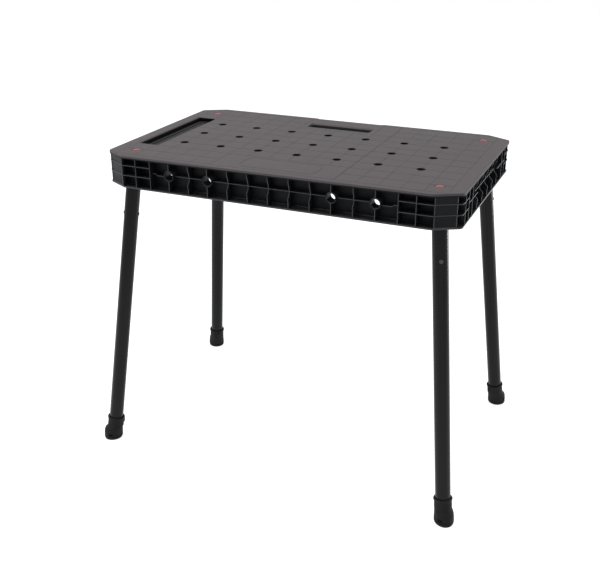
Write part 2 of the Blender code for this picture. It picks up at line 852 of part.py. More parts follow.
def plug_mesh(material):
    """Moulded cup that closes the top of the tube and stiffens it where it enters the socket."""
    top = -leg_length(LEG_TOP)
    shoulder = top - PLUG_COLLAR
    end = top - PLUG_LENGTH
    outer = TUBE_RADIUS - TUBE_WALL - SEAT_GAP
    inner = outer - PLUG_WALL
    profile = [
        (TUBE_RADIUS - PLUG_COLLAR / 2, top),
        (TUBE_RADIUS, top - PLUG_COLLAR / 2),
        (TUBE_RADIUS, shoulder),
        (outer, shoulder),
        (outer, end),
        (inner, end),
        (inner, top - PLUG_COLLAR - PLUG_WALL),
    ]
    build = bmesh.new()
    add_lathe(build, profile, TUBE_FACETS)
    return finish_mesh(build, "leg_plug", material)


def pin_mesh(material):
    """Cross pin with a low domed head at each end, lying along local X."""
    seat = TUBE_RADIUS + SEAT_GAP
    head = PIN_HEAD_RADIUS
    profile = [
        (head * 0.45, -seat - PIN_HEAD_HEIGHT),
        (head * 0.85, -seat - PIN_HEAD_HEIGHT * 0.6),
        (head, -seat),
        (PIN_RADIUS, -seat),
        (PIN_RADIUS, seat),
        (head, seat),
        (head * 0.85, seat + PIN_HEAD_HEIGHT * 0.6),
        (head * 0.45, seat + PIN_HEAD_HEIGHT),
    ]
    build = bmesh.new()
    add_lathe(build, profile, SMALL_FACETS)
    bmesh.ops.rotate(
        build,
        verts=build.verts,
        cent=(0.0, 0.0, 0.0),
        matrix=Matrix.Rotation(math.pi / 2, 3, "Y"),
    )
    mesh = finish_mesh(build, "leg_pin", material)
    smooth_round(mesh)
    return mesh


def foot_mesh(material):
    """Boot on the end of the tube, with a level sole. Its origin is on the floor below the leg axis."""
    facets = TUBE_FACETS
    lean = Matrix.Rotation(-TILT, 3, "Y")

    def square(radius, along):
        return [tuple(lean @ Vector(point)) for point in circle(radius, along, facets)]

    bore = TUBE_RADIUS + SEAT_GAP
    sleeve = bore + FOOT_WALL
    collar = sleeve + FOOT_COLLAR
    shift = SHOE_SHIFT
    groove = SHOE_RADIUS - SHOE_GROOVE_DEPTH
    groove_top = SHOE_GROOVE_BASE + SHOE_GROOVE_HEIGHT
    rings = [
        circle(SHOE_RADIUS - SHOE_EDGE, 0.0, facets, shift),
        circle(SHOE_RADIUS, SHOE_EDGE, facets, shift),
        circle(SHOE_RADIUS, SHOE_GROOVE_BASE, facets, shift),
        circle(groove, SHOE_GROOVE_BASE, facets, shift),
        circle(groove, groove_top, facets, shift),
        circle(SHOE_RADIUS, groove_top, facets, shift),
        circle((SHOE_RADIUS + sleeve) / 2, (groove_top + SHOE_TOP) / 2, facets, -shift / 4),
        square(sleeve, SHOE_TOP),
        square(sleeve, FOOT_HEIGHT - FOOT_COLLAR_HEIGHT),
        square(collar, FOOT_HEIGHT - FOOT_COLLAR_HEIGHT),
        square(collar, FOOT_HEIGHT - FOOT_COLLAR),
        square(collar - FOOT_COLLAR / 2, FOOT_HEIGHT),
        square(bore, FOOT_HEIGHT),
        square(bore, leg_length(FOOT_FLOOR)),
    ]
    build = bmesh.new()
    add_loft(build, rings)
    mesh = finish_mesh(build, "leg_foot", material)
    smooth_round(mesh)
    return mesh


def make_legs(materials):
    plug = plug_mesh(materials["plug"])
    pin = pin_mesh(materials["pin"])
    foot = foot_mesh(materials["foot"])
    for corner in CORNERS:
        frame = leg_frame(corner)
        build = bmesh.new()
        tube_pin_holes(build)
        helper = cutter(f"pin_hole_{corner}", build)
        helper.matrix_world = frame
        tube = place(f"leg_tube_{corner}", tube_mesh(materials["tube"]), frame)
        smooth_round(tube.data)
        boolean(tube, "DIFFERENCE", helper)
        inside = place(f"leg_plug_{corner}", plug.copy(), frame)
        smooth_round(inside.data)
        boolean(inside, "DIFFERENCE", helper)
        along = Matrix.Translation((0.0, 0.0, -leg_length(PIN_DEPTH)))
        turn = Matrix.Rotation(PIN_ANGLE, 4, "Z")
        place(f"leg_pin_{corner}", pin, frame @ along @ turn)
        place(f"leg_foot_{corner}", foot, upright_frame(corner, BENCH_HEIGHT))


def make_buttons(button_material, spring_material):
    button = button_mesh(button_material)
    spring = spring_mesh(spring_material)
    for corner in CORNERS:
        frame = upright_frame(corner)
        place(f"release_button_{corner}", button, frame)
        place(f"button_spring_{corner}", spring, frame)


def main():
    materials = {
        "deck": make_material("deck_plastic", (0.135, 0.123, 0.127), 0.62, 0.0),
        "frame": make_material("frame_plastic", (0.020, 0.020, 0.022), 0.55, 0.0),
        "socket": make_material("socket_plastic", (0.022, 0.022, 0.024), 0.5, 0.0),
        "button": make_material("button_plastic", (0.42, 0.03, 0.035), 0.4, 0.0),
        "spring": make_material("spring_steel", (0.45, 0.45, 0.46), 0.3, 1.0),
        "screw": make_material("screw_steel", (0.30, 0.30, 0.31), 0.4, 1.0),
        "tube": make_material("tube_paint", (0.018, 0.019, 0.022), 0.42, 0.0),
        "plug": make_material("plug_plastic", (0.020, 0.020, 0.021), 0.5, 0.0),
        "pin": make_material("pin_steel", (0.10, 0.10, 0.11), 0.4, 1.0),
        "foot": make_material("foot_rubber", (0.017, 0.017, 0.018), 0.7, 0.0),
    }
    make_deck(materials["deck"])
    make_frame(materials["frame"])
    make_screws(materials["screw"])
    make_sockets(materials["socket"])
    make_buttons(materials["button"], materials["spring"])
    make_legs(materials)


main()
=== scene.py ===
"""Portable workbench with a ribbed top, dressed for a studio picture."""

import math

import bmesh
import bpy
from mathutils import Matrix, Vector


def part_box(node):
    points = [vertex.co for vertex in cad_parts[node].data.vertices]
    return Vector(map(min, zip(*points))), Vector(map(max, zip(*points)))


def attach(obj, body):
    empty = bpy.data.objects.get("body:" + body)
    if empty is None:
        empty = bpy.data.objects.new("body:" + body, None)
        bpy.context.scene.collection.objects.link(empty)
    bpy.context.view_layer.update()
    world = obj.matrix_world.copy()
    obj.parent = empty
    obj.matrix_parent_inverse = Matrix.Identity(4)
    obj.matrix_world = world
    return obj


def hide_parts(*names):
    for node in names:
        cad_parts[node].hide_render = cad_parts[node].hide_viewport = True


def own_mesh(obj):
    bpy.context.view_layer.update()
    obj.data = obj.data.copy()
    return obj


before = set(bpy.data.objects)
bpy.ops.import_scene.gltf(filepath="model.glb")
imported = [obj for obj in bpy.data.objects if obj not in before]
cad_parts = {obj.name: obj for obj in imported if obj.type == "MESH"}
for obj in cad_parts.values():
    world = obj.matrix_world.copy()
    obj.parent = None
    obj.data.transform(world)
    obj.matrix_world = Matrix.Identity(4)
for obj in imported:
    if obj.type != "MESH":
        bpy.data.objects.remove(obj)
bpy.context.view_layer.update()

# Sizes are in millimetres until a mesh is made. Depths go down from the work surface.
MM = 0.001
TOP = 745.0
HALF_LENGTH = 414.0
HALF_DEPTH = 255.0
CORNER_CUT = (56.0, 31.0)
LONG_ROUNDING = 25.0
SHORT_ROUNDING = 12.0
BASE = 75.0
PITCH = 96.0
COLUMNS = 7
ROWS = 3
WALL_INSET = 27.95
CORNER_ROOM = 19.2
WEB = 3.0
POCKET = WALL_INSET - WEB
CUT_POCKET = CORNER_ROOM - WEB
PANEL_RECESS = 2.8
BITE = 0.4
RIB = 1.9
SHELF = 1.7
SKIRT = 5.1
RIB_TOP = SKIRT + 0.8
RIB_BASE = BASE - 3.1
HOLE_DEPTH = 35.5
SIDE_HOLES = (-240.0, -144.0, 144.0, 240.0)
CORNER_SHELVES = (23.2, 46.2)
END_RIBS = (325.4, 362.8)
SHORT_PITS = 206.0
SHORT_END_RIBS = (174.0, 204.0)
PANEL_ENDS = {1: (6.0, 52.6), -1: (6.0, 60.0)}
PANEL_LEDGE = 1.5
TRAY = (-382.95, -336.95, 144.0)
TRAY_LIP = 8.0
SLOT = (81.0, 160.0, 196.0)
GRIP = (85.0, 6.0)
LEG_AT = (356.2, 198.6)
SPLAY = (0.104, 0.107)
TILT = math.atan(math.hypot(*SPLAY))
CORNERS = {"fl": (-1, -1), "fr": (1, -1), "bl": (-1, 1), "br": (1, 1)}
TUBE = 17.1
SOCKET_BORE = 17.4
SOCKET = 19.6
PIN_DEPTH = 150.0
PIN_TURN = math.radians(-23)
EAR_REACH = 30.0
TUBE_TOP = 24.5
UNDER_SKIN = TOP - 1.5
BELOW_DECK = TOP - 40.0
DECK_RIB_ENDS = (385.4, 226.4)
DOG_HOLE = 9.8
FINE_FACETS = 48
TAB_HALF = 7.0
TAB_DEPTHS = (22.3, 19.3)
PIT_DEPTHS = (SKIRT + 2.3, BASE - 3.5)
BUTTON_FOOT = 4.8
SPRING_SEAT = 17.0
SPRING_WIRE = 0.65
LABEL_MIDDLE = (3.0, -189.0)
LABEL_HALF = (90.0, 35.0)
FLAT_AREA = 60.0
SCREW_NODES = [f"frame_screw_{k}" for k in range(1, 11)] + [f"socket_screw_{k}" for k in range(1, 9)]


# Meshes.

def mesh_of(build, name):
    """A mesh in metres from a build in millimetres, closed and facing outward."""
    bmesh.ops.remove_doubles(build, verts=build.verts, dist=1e-4)
    bmesh.ops.recalc_face_normals(build, faces=build.faces)
    bmesh.ops.scale(build, vec=(MM, MM, MM), verts=build.verts)
    mesh = bpy.data.meshes.new(name)
    build.to_mesh(mesh)
    build.free()
    return mesh


def new_object(name, mesh):
    made = bpy.data.objects.new(name, mesh)
    bpy.context.scene.collection.objects.link(made)
    return made


def make_plain(piece):
    """Turns what the piece's modifiers make into its own mesh."""
    bpy.context.view_layer.update()
    graph = bpy.context.evaluated_depsgraph_get()
    mesh = bpy.data.meshes.new_from_object(piece.evaluated_get(graph), depsgraph=graph)
    piece.modifiers.clear()
    piece.data = mesh
    return piece


def mould(piece, operation, *tools):
    """Joins tool shapes to the piece or cuts them away, one by one, and removes them."""
    for tool in tools:
        step = piece.modifiers.new("mould", "BOOLEAN")
        step.operation = operation
        step.solver = "MANIFOLD"
        step.object = tool
        make_plain(piece)
        bpy.data.objects.remove(tool, do_unlink=True)


def loft(build, rings, closed=False):
    """Quads between rings of equal length. The ends are capped, or joined to each other."""
    made = [[build.verts.new(point) for point in ring] for ring in rings]
    count = len(made[0])
    pairs = list(zip(made, made[1:]))
    if closed:
        pairs.append((made[-1], made[0]))
    for low, high in pairs:
        for k in range(count):
            after = (k + 1) % count
            build.faces.new((low[k], low[after], high[after], high[k]))
    if not closed:
        build.faces.new(made[0])
        build.faces.new(made[-1])


def circle(radius, z, facets, x=0.0, y=0.0):
    turn = 2 * math.pi / facets
    return [(x + radius * math.cos(turn * k), y + radius * math.sin(turn * k), z) for k in range(facets)]


def turned(profile, facets, x=0.0, y=0.0):
    """The rings of a turned solid on an upright axis, from (radius, height) pairs."""
    return [circle(radius, z, facets, x, y) for radius, z in profile]


def block(low, high, chamfer=0.3):
    """The rings of an upright block with chamfered top and bottom edges."""
    rings = []
    under, over = low[2], high[2]
    for inset, z in ((chamfer, under), (0.0, under + chamfer), (0.0, over - chamfer), (chamfer, over)):
        x0, y0 = low[0] + inset, low[1] + inset
        x1, y1 = high[0] - inset, high[1] - inset
        rings.append([(x0, y0, z), (x1, y0, z), (x1, y1, z), (x0, y1, z)])
    return rings


def placed(matrix, points):
    return [tuple(matrix @ Vector(point)) for point in points]


def lofted(*solids, closed=False, matrix=None, name="helper"):
    """One object from one or more solids, each given as its rings."""
    build = bmesh.new()
    for rings in solids:
        loft(build, rings, closed)
    if matrix is not None:
        bmesh.ops.transform(build, matrix=matrix, verts=build.verts)
    return new_object(name, mesh_of(build, name))


def eased(points, steps=3):
    """A smooth run through the given points."""
    run = []
    ends = [points[0], *points, points[-1]]
    for a, b, c, d in zip(ends, ends[1:], ends[2:], ends[3:]):
        for k in range(steps):
            t = k / steps
            run.append(tuple(
                0.5 * (
                    2 * q
                    + (r - p) * t
                    + (2 * p - 5 * q + 4 * r - s) * t * t
                    + (3 * q - p - 3 * r + s) * t ** 3
                )
                for p, q, r, s in zip(a, b, c, d)
            ))
    run.append(points[-1])
    return run


def fillet(before, corner, after, radius, segments):
    """Points of a round corner between two straight edges."""
    corner = Vector(corner)
    back = (Vector(before) - corner).normalized()
    ahead = (Vector(after) - corner).normalized()
    half = back.angle(ahead) / 2
    centre = corner + (back + ahead).normalized() * (radius / math.sin(half))
    start = corner + back * (radius / math.tan(half)) - centre
    end = corner + ahead * (radius / math.tan(half)) - centre
    sweep = start.angle_signed(end)
    points = []
    for k in range(segments + 1):
        arm = start.copy()
        arm.rotate(Matrix.Rotation(-sweep * k / segments, 2))
        points.append(tuple(centre + arm))
    return points


def corner_normal():
    length = math.hypot(*CORNER_CUT)
    return Vector((CORNER_CUT[1] / length, CORNER_CUT[0] / length))


def outline(inset=0.0, cut_inset=None):
    """The top's outline, anticlockwise, set in from its straight sides and from its corner cuts."""
    cut_inset = inset if cut_inset is None else cut_inset
    normal = corner_normal()
    reach = normal.dot(Vector((HALF_LENGTH - CORNER_CUT[0], HALF_DEPTH))) - cut_inset
    x = HALF_LENGTH - inset
    y = HALF_DEPTH - inset
    near = ((reach - normal.y * y) / normal.x, y)
    far = (x, (reach - normal.x * x) / normal.y)
    quadrant = fillet((x, 0.0), far, near, max(SHORT_ROUNDING - inset, 0.8), 6)
    quadrant += fillet(far, near, (0.0, y), max(LONG_ROUNDING - inset, 0.8), 12)
    upper = quadrant + [(-px, py) for px, py in reversed(quadrant)]
    return upper + [(-px, -py) for px, py in upper]


def ring_at(points, depth):
    return [(x, y, TOP - depth) for x, y in points]


def rounded_box(x0, y0, x1, y1, radius, segments=6):
    corners = [(x0, y0), (x1, y0), (x1, y1), (x0, y1)]
    points = []
    for k in range(4):
        points += fillet(corners[k - 1], corners[k], corners[(k + 1) % 4], radius, segments)
    return points


def leg_frame(corner, square=True, depth=0.0):
    """Frame on the leg axis with X outward, in millimetres. Square to the leg, or level."""
    sx, sy = CORNERS[corner]
    point = (sx * (LEG_AT[0] + SPLAY[0] * depth), sy * (LEG_AT[1] + SPLAY[1] * depth), TOP - depth)
    made = Matrix.Translation(point) @ Matrix.Rotation(math.atan2(sy * SPLAY[1], sx * SPLAY[0]), 4, "Z")
    return made @ Matrix.Rotation(-TILT, 4, "Y") if square else made


def along_leg(depth):
    return depth / math.cos(TILT)


def shade(mesh, angle):
    """Round faces shade smooth, and level or large straight ones stay flat."""
    mesh.shade_smooth()
    mesh.set_sharp_from_angle(angle=math.radians(angle))
    for face in mesh.polygons:
        straight = max(abs(part) for part in face.normal) > 0.99999
        if abs(face.normal.z) > 0.99999 or (straight and face.area > FLAT_AREA * MM * MM):
            face.use_smooth = False


# Node trees that repeat a piece.

def add_input(tree, name, kind, default=None):
    made = tree.interface.new_socket(name=name, in_out="INPUT", socket_type=kind)
    if default is not None:
        made.default_value = default


def node(tree, kind, inputs=None, **settings):
    made = tree.nodes.new(kind)
    for name, value in settings.items():
        setattr(made, name, value)
    for name, value in (inputs or {}).items():
        socket = made.inputs[name]
        if isinstance(value, bpy.types.NodeSocket):
            tree.links.new(value, socket)
        else:
            socket.default_value = value
    return made


def repeating_tree(name, geometry_in=True):
    tree = bpy.data.node_groups.new(name, "GeometryNodeTree")
    if geometry_in:
        add_input(tree, "Places", "NodeSocketGeometry")
    tree.interface.new_socket(name="Pieces", in_out="OUTPUT", socket_type="NodeSocketGeometry")
    return tree, tree.nodes.new("NodeGroupInput")


def end_tree(tree, instances, finish):
    real = node(tree, "GeometryNodeRealizeInstances", {"Geometry": instances})
    finished = node(tree, "GeometryNodeSetMaterial", {"Geometry": real.outputs[0], "Material": finish})
    output = tree.nodes.new("NodeGroupOutput")
    tree.links.new(finished.outputs[0], output.inputs[0])


def places_tree():
    """One copy of a piece at each point, turned about the upright axis by the point's turn."""
    tree, given = repeating_tree("copies_at_places")
    add_input(tree, "Piece", "NodeSocketObject")
    add_input(tree, "Finish", "NodeSocketMaterial")
    piece = node(tree, "GeometryNodeObjectInfo", {"Object": given.outputs["Piece"]})
    turn = node(tree, "GeometryNodeInputNamedAttribute", {"Name": "turn"}, data_type="FLOAT")
    spin = node(tree, "ShaderNodeCombineXYZ", {"Z": turn.outputs[0]})
    copies = node(tree, "GeometryNodeInstanceOnPoints", {
        "Points": given.outputs["Places"],
        "Instance": piece.outputs["Geometry"],
        "Rotation": spin.outputs[0],
    })
    end_tree(tree, copies.outputs[0], given.outputs["Finish"])
    return tree


def grid_tree():
    """Copies of a piece on a level grid of columns and rows."""
    tree, given = repeating_tree("copies_on_grid", geometry_in=False)
    add_input(tree, "Piece", "NodeSocketObject")
    add_input(tree, "Columns", "NodeSocketInt", 2)
    add_input(tree, "Rows", "NodeSocketInt", 2)
    add_input(tree, "Length", "NodeSocketFloat", 1.0)
    add_input(tree, "Width", "NodeSocketFloat", 1.0)
    add_input(tree, "Finish", "NodeSocketMaterial")
    grid = node(tree, "GeometryNodeMeshGrid", {
        "Size X": given.outputs["Length"],
        "Size Y": given.outputs["Width"],
        "Vertices X": given.outputs["Columns"],
        "Vertices Y": given.outputs["Rows"],
    })
    piece = node(tree, "GeometryNodeObjectInfo", {"Object": given.outputs["Piece"]})
    copies = node(tree, "GeometryNodeInstanceOnPoints", {
        "Points": grid.outputs["Mesh"],
        "Instance": piece.outputs["Geometry"],
    })
    end_tree(tree, copies.outputs[0], given.outputs["Finish"])
    return tree


def coil_tree():
    """A round-wire coil on an upright axis."""
    tree, given = repeating_tree("wound_coil", geometry_in=False)
    for name, default in (("Turns", 3.5), ("Radius", 0.007), ("Height", 0.01), ("Wire", 0.0006)):
        add_input(tree, name, "NodeSocketFloat", default)
    add_input(tree, "Finish", "NodeSocketMaterial")
    wound = node(tree, "GeometryNodeCurveSpiral", {
        "Resolution": 28,
        "Rotations": given.outputs["Turns"],
        "Start Radius": given.outputs["Radius"],
        "End Radius": given.outputs["Radius"],
        "Height": given.outputs["Height"],
    })
    wire = node(tree, "GeometryNodeCurvePrimitiveCircle", {
        "Resolution": 10,
        "Radius": given.outputs["Wire"],
    })
    swept = node(tree, "GeometryNodeCurveToMesh", {
        "Curve": wound.outputs[0],
        "Profile Curve": wire.outputs[0],
        "Fill Caps": True,
    })
    end_tree(tree, swept.outputs[0], given.outputs["Finish"])
    return tree


def grow(piece, tree, values):
    """Runs a tree on the piece with its named inputs set, and keeps the result as a plain mesh."""
    step = piece.modifiers.new("copies", "NODES")
    step.node_group = tree
    for item in tree.interface.items_tree:
        if item.item_type == "SOCKET" and item.in_out == "INPUT" and item.name in values:
            step[item.identifier] = values[item.name]
    make_plain(piece)
    spare = piece.data.attributes.get("turn")
    if spare is not None:
        piece.data.attributes.remove(spare)
    return piece


def copies(name, template, places, finish=None):
    """One object with the template repeated at (x, y, z, turn) places, in millimetres and radians."""
    mesh = bpy.data.meshes.new(name)
    mesh.from_pydata([Vector(place[:3]) * MM for place in places], [], [])
    turn = mesh.attributes.new("turn", "FLOAT", "POINT")
    turn.data.foreach_set("value", [place[3] for place in places])
    made = grow(new_object(name, mesh), PLACES_TREE, {"Piece": template, "Finish": finish})
    bpy.data.objects.remove(template, do_unlink=True)
    return made


def copies_on_grid(name, template, columns, rows, pitch, finish=None):
    values = {
        "Piece": template,
        "Columns": columns,
        "Rows": rows,
        "Length": (columns - 1) * pitch * MM,
        "Width": (rows - 1) * pitch * MM,
        "Finish": finish,
    }
    made = grow(new_object(name, bpy.data.meshes.new(name)), GRID_TREE, values)
    bpy.data.objects.remove(template, do_unlink=True)
    return made


PLACES_TREE = places_tree()
GRID_TREE = grid_tree()
COIL_TREE = coil_tree()


# Finishes.

def noise(tree, place, scale, detail=2.0, roughness=0.5, stretch=None):
    if stretch is not None:
        mapping = node(tree, "ShaderNodeMapping", {"Vector": place, "Scale": stretch})
        place = mapping.outputs[0]
    made = node(tree, "ShaderNodeTexNoise", {
        "Vector": place,
        "Scale": scale,
        "Detail": detail,
        "Roughness": roughness,
    })
    return made.outputs["Fac"]


def spread(tree, value, low, high, start=0.3, end=0.7):
    """Maps a noise onto a range."""
    made = node(tree, "ShaderNodeMapRange", {
        "Value": value,
        "From Min": start,
        "From Max": end,
        "To Min": low,
        "To Max": high,
    })
    return made.outputs["Result"]


def blend_colour(tree, share, first, second):
    made = node(tree, "ShaderNodeMix", data_type="RGBA")
    tree.links.new(share, made.inputs["Factor"])
    for socket, value in (("A", first), ("B", second)):
        target = [s for s in made.inputs if s.name == socket and s.type == "RGBA"][0]
        if isinstance(value, bpy.types.NodeSocket):
            tree.links.new(value, target)
        else:
            target.default_value = (*value, 1.0)
    return [s for s in made.outputs if s.type == "RGBA"][0]


def finish_base(name):
    made = bpy.data.materials.new(name)
    made.use_nodes = True
    tree = made.node_tree
    shader = tree.nodes["Principled BSDF"]
    place = tree.nodes.new("ShaderNodeTexCoord").outputs["Object"]
    return made, tree, shader, place


def set_surface(tree, shader, colour, patches, rough, gloss):
    """The colour, the roughness that drifts with the patches, and the gloss."""
    tree.links.new(colour, shader.inputs["Base Color"])
    tree.links.new(spread(tree, patches, *rough), shader.inputs["Roughness"])
    shader.inputs["Specular IOR Level"].default_value = gloss


def add_bump(tree, shader, layers):
    """Stacks bump layers, each (height, strength, distance)."""
    normal = None
    for height, strength, distance in layers:
        bump = node(tree, "ShaderNodeBump", {"Height": height, "Strength": strength, "Distance": distance})
        if normal is not None:
            tree.links.new(normal, bump.inputs["Normal"])
        normal = bump.outputs["Normal"]
    tree.links.new(normal, shader.inputs["Normal"])


def moulded_plastic(name, colour, worn, rough, gloss, grain):
    """Moulded plastic with a fine eroded grain, slow colour drift and dull rubbed patches."""
    made, tree, shader, place = finish_base(name)
    drift = noise(tree, place, 30.0, 3.0)
    rub = noise(tree, place, 9.0, 5.0, 0.65)
    fine = noise(tree, place, grain, 2.0, 0.6)
    tone = blend_colour(tree, spread(tree, drift, 0.0, 1.0), colour, worn)
    speck = blend_colour(tree, spread(tree, fine, 0.0, 0.35, 0.45, 0.8), tone, worn)
    set_surface(tree, shader, speck, rub, rough, gloss)
    flow = noise(tree, place, 14.0, 1.0)
    add_bump(tree, shader, [(flow, 0.15, 0.0004), (fine, 0.35, 0.00012)])
    return made


def work_surface_plastic(name, colour, worn, rough, gloss):
    """The deck's skin: eroded grain, hair scratches from use, and faint cloudy wear."""
    made, tree, shader, place = finish_base(name)
    cloud = noise(tree, place, 7.0, 4.0, 0.6)
    grain = noise(tree, place, 1400.0, 2.0, 0.6)
    pebble = noise(tree, place, 420.0, 1.0, 0.5)
    along = noise(tree, place, 60.0, 3.0, 0.7, (0.25, 6.0, 1.0))
    across = noise(tree, place, 60.0, 3.0, 0.7, (6.0, 0.35, 1.0))
    hair = node(tree, "ShaderNodeMath", {0: along, 1: across}, operation="MAXIMUM").outputs[0]
    scratch = spread(tree, hair, 0.0, 0.5, 0.66, 0.78)
    tone = blend_colour(tree, spread(tree, cloud, 0.0, 1.0), colour, worn)
    speck = blend_colour(tree, spread(tree, grain, 0.0, 0.4, 0.42, 0.75), tone, worn)
    scuffed = blend_colour(tree, scratch, speck, tuple(1.35 * part for part in worn))
    set_surface(tree, shader, scuffed, cloud, rough, gloss)
    add_bump(tree, shader, [(cloud, 0.05, 0.0006), (pebble, 0.25, 0.0001), (grain, 0.4, 0.00006)])
    return made


def powder_coat(name, colour, worn, rough, gloss):
    """Black powder coat with orange peel."""
    made, tree, shader, place = finish_base(name)
    peel = noise(tree, place, 520.0, 1.0, 0.4)
    drift = noise(tree, place, 18.0, 4.0, 0.6)
    tone = blend_colour(tree, spread(tree, drift, 0.0, 1.0), colour, worn)
    set_surface(tree, shader, tone, drift, rough, gloss)
    add_bump(tree, shader, [(drift, 0.08, 0.0005), (peel, 0.3, 0.00008)])
    return made


def plated_steel(name, colour, worn, rough, scale):
    """Plated or blackened steel with fine drawn marks and duller spots."""
    made, tree, shader, place = finish_base(name)
    drawn = noise(tree, place, scale, 2.0, 0.6, (1.0, 1.0, 0.15))
    spot = noise(tree, place, 160.0, 4.0, 0.6)
    tone = blend_colour(tree, spread(tree, spot, 0.0, 1.0), colour, worn)
    set_surface(tree, shader, tone, spot, rough, 0.5)
    shader.inputs["Metallic"].default_value = 1.0
    add_bump(tree, shader, [(drawn, 0.2, 0.00004)])
    return made


def moulded_rubber(name, colour, worn):
    """Dull rubber with a soft bloom and a pebbled skin."""
    made, tree, shader, place = finish_base(name)
    bloom = noise(tree, place, 55.0, 4.0, 0.6)
    pebble = noise(tree, place, 900.0, 2.0, 0.5)
    tone = blend_colour(tree, spread(tree, bloom, 0.0, 0.8), colour, worn)
    set_surface(tree, shader, tone, bloom, (0.62, 0.8), 0.2)
    add_bump(tree, shader, [(bloom, 0.1, 0.0003), (pebble, 0.35, 0.00008)])
    return made


FINISH = {
    # The skin's charcoal is partly its own grey grain and partly painted sheen, lighter than the black
    # plastic beneath.
    "deck": work_surface_plastic(
        "charcoal_deck_and_painted_sheen", (0.088, 0.078, 0.081), (0.104, 0.093, 0.096), (0.6, 0.72), 0.25,
    ),
    # The tray floor's darker charcoal is painted shade in the recess.
    "tray": work_surface_plastic(
        "tray_floor_painted_shade", (0.032, 0.030, 0.032), (0.042, 0.039, 0.041), (0.6, 0.72), 0.1,
    ),
    # The tray walls' near-black is painted shade, darker than the black moulding itself.
    "well": moulded_plastic(
        "tray_walls_painted_shade", (0.0022, 0.0022, 0.0026), (0.004, 0.004, 0.0046), (0.6, 0.75), 0.03, 1300.0,
    ),
    "frame": moulded_plastic(
        "black_moulding", (0.0095, 0.0103, 0.0125), (0.015, 0.016, 0.019), (0.38, 0.5), 0.11, 1300.0,
    ),
    # A lighter, glossier copy of the black moulding: painted highlight where the frame's edges and bottom
    # flange catch the lamps.
    "edge": moulded_plastic(
        "black_edges_painted_highlight", (0.021, 0.022, 0.025), (0.034, 0.035, 0.039), (0.28, 0.38), 0.4, 1300.0,
    ),
    "socket": moulded_plastic(
        "socket_moulding", (0.017, 0.018, 0.020), (0.026, 0.027, 0.029), (0.42, 0.55), 0.3, 1500.0,
    ),
    "button": moulded_plastic(
        "red_push_button", (0.21, 0.004, 0.010), (0.27, 0.008, 0.015), (0.16, 0.26), 0.6, 1600.0,
    ),
    "plug": moulded_plastic(
        "plug_moulding", (0.018, 0.018, 0.019), (0.027, 0.027, 0.028), (0.5, 0.62), 0.3, 1400.0,
    ),
    "tube": powder_coat(
        "black_powder_coat", (0.0032, 0.0034, 0.0044), (0.0062, 0.0066, 0.008), (0.2, 0.28), 0.17,
    ),
    "spring": plated_steel(
        "drawn_spring_wire", (0.46, 0.46, 0.47), (0.34, 0.33, 0.33), (0.25, 0.4), 2400.0,
    ),
    "screw": plated_steel("plated_screws", (0.33, 0.33, 0.34), (0.22, 0.22, 0.23), (0.3, 0.45), 2600.0),
    "pin": plated_steel("blackened_pin", (0.09, 0.09, 0.10), (0.05, 0.05, 0.055), (0.35, 0.5), 2600.0),
    "foot": moulded_rubber("foot_rubber", (0.0065, 0.0065, 0.0072), (0.012, 0.012, 0.013)),
}


def finish_faces(piece, keys, choose):
    """Gives each face the finish that choose picks from the keys by its middle and its normal."""
    piece.data.materials.clear()
    for key in keys:
        piece.data.materials.append(FINISH[key])
    for face in piece.data.polygons:
        face.material_index = int(choose(face.center / MM, face.normal))


def dress(piece, body, nodes, finish=None, angle=35.0):
    """Sets the finish when one is given, shades the piece, parents it to what carries it, and hides the
    parts it stands for.
    """
    if finish is not None:
        piece.data.materials.clear()
        piece.data.materials.append(FINISH[finish])
    shade(piece.data, angle)
    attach(piece, body)
    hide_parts(*nodes)


# The deck.

def case_screw_places():
    """Where the screws stand: ten through the frame's tabs and eight through the sockets' ears."""
    boxes = [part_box(name) for name in SCREW_NODES]
    return [((low.x + high.x) / 2 / MM, (low.y + high.y) / 2 / MM) for low, high in boxes]


SCREWS_AT = case_screw_places()
FRAME_SCREWS_AT = SCREWS_AT[:10]


def deck_panel():
    """The deck's skin with its rounded rim."""
    rim = [(1.8, 0.0), (1.0, 0.12), (0.4, 0.5), (0.1, 1.0), (0.0, 1.7)]
    rim += [(0.0, SKIRT - 0.3), (0.3, SKIRT), (2.2, SKIRT), (2.2, 3.0)]
    return lofted([ring_at(outline(inset), depth) for inset, depth in rim], name="deck_panel")


def deck_ribs(long_way):
    """The ribs under the deck, all those that run one way."""
    half = RIB / 2
    if long_way:
        end, foot, places = DECK_RIB_ENDS[0], TOP - 15.5, (-144.0, -48.0, 48.0, 144.0)
        return lofted(*[block((-end, y - half, foot), (end, y + half, UNDER_SKIN)) for y in places])
    end, foot, places = DECK_RIB_ENDS[1], TOP - 14.5, (-240.0, -144.0, -48.0, 48.0, 144.0, 240.0)
    return lofted(*[block((x - half, -end, foot), (x + half, end, UNDER_SKIN)) for x in places])


def deck_wells():
    """The outsides of the tray and of the hand slot's walls, before they are hollowed."""
    low, high, half = TRAY
    reach, near, far = SLOT
    return lofted(
        block((low - 2.5, -half - 2.5, TOP - 13.5), (high + 2.5, half + 2.5, UNDER_SKIN), 0.8),
        block((-reach - 2.6, near - 2.6, TOP - 16.5), (reach + 2.6, far + 2.6, UNDER_SKIN), 0.4),
    )


def hole_boss():
    return lofted(turned([(13.1, TOP - 17.5), (13.5, TOP - 17.1), (13.5, UNDER_SKIN)], FINE_FACETS))


def screw_bosses():
    profile = [(4.7, TOP - 19.0), (5.0, TOP - 18.7), (5.0, UNDER_SKIN)]
    return lofted(*[turned(profile, 24, x, y) for x, y in SCREWS_AT])


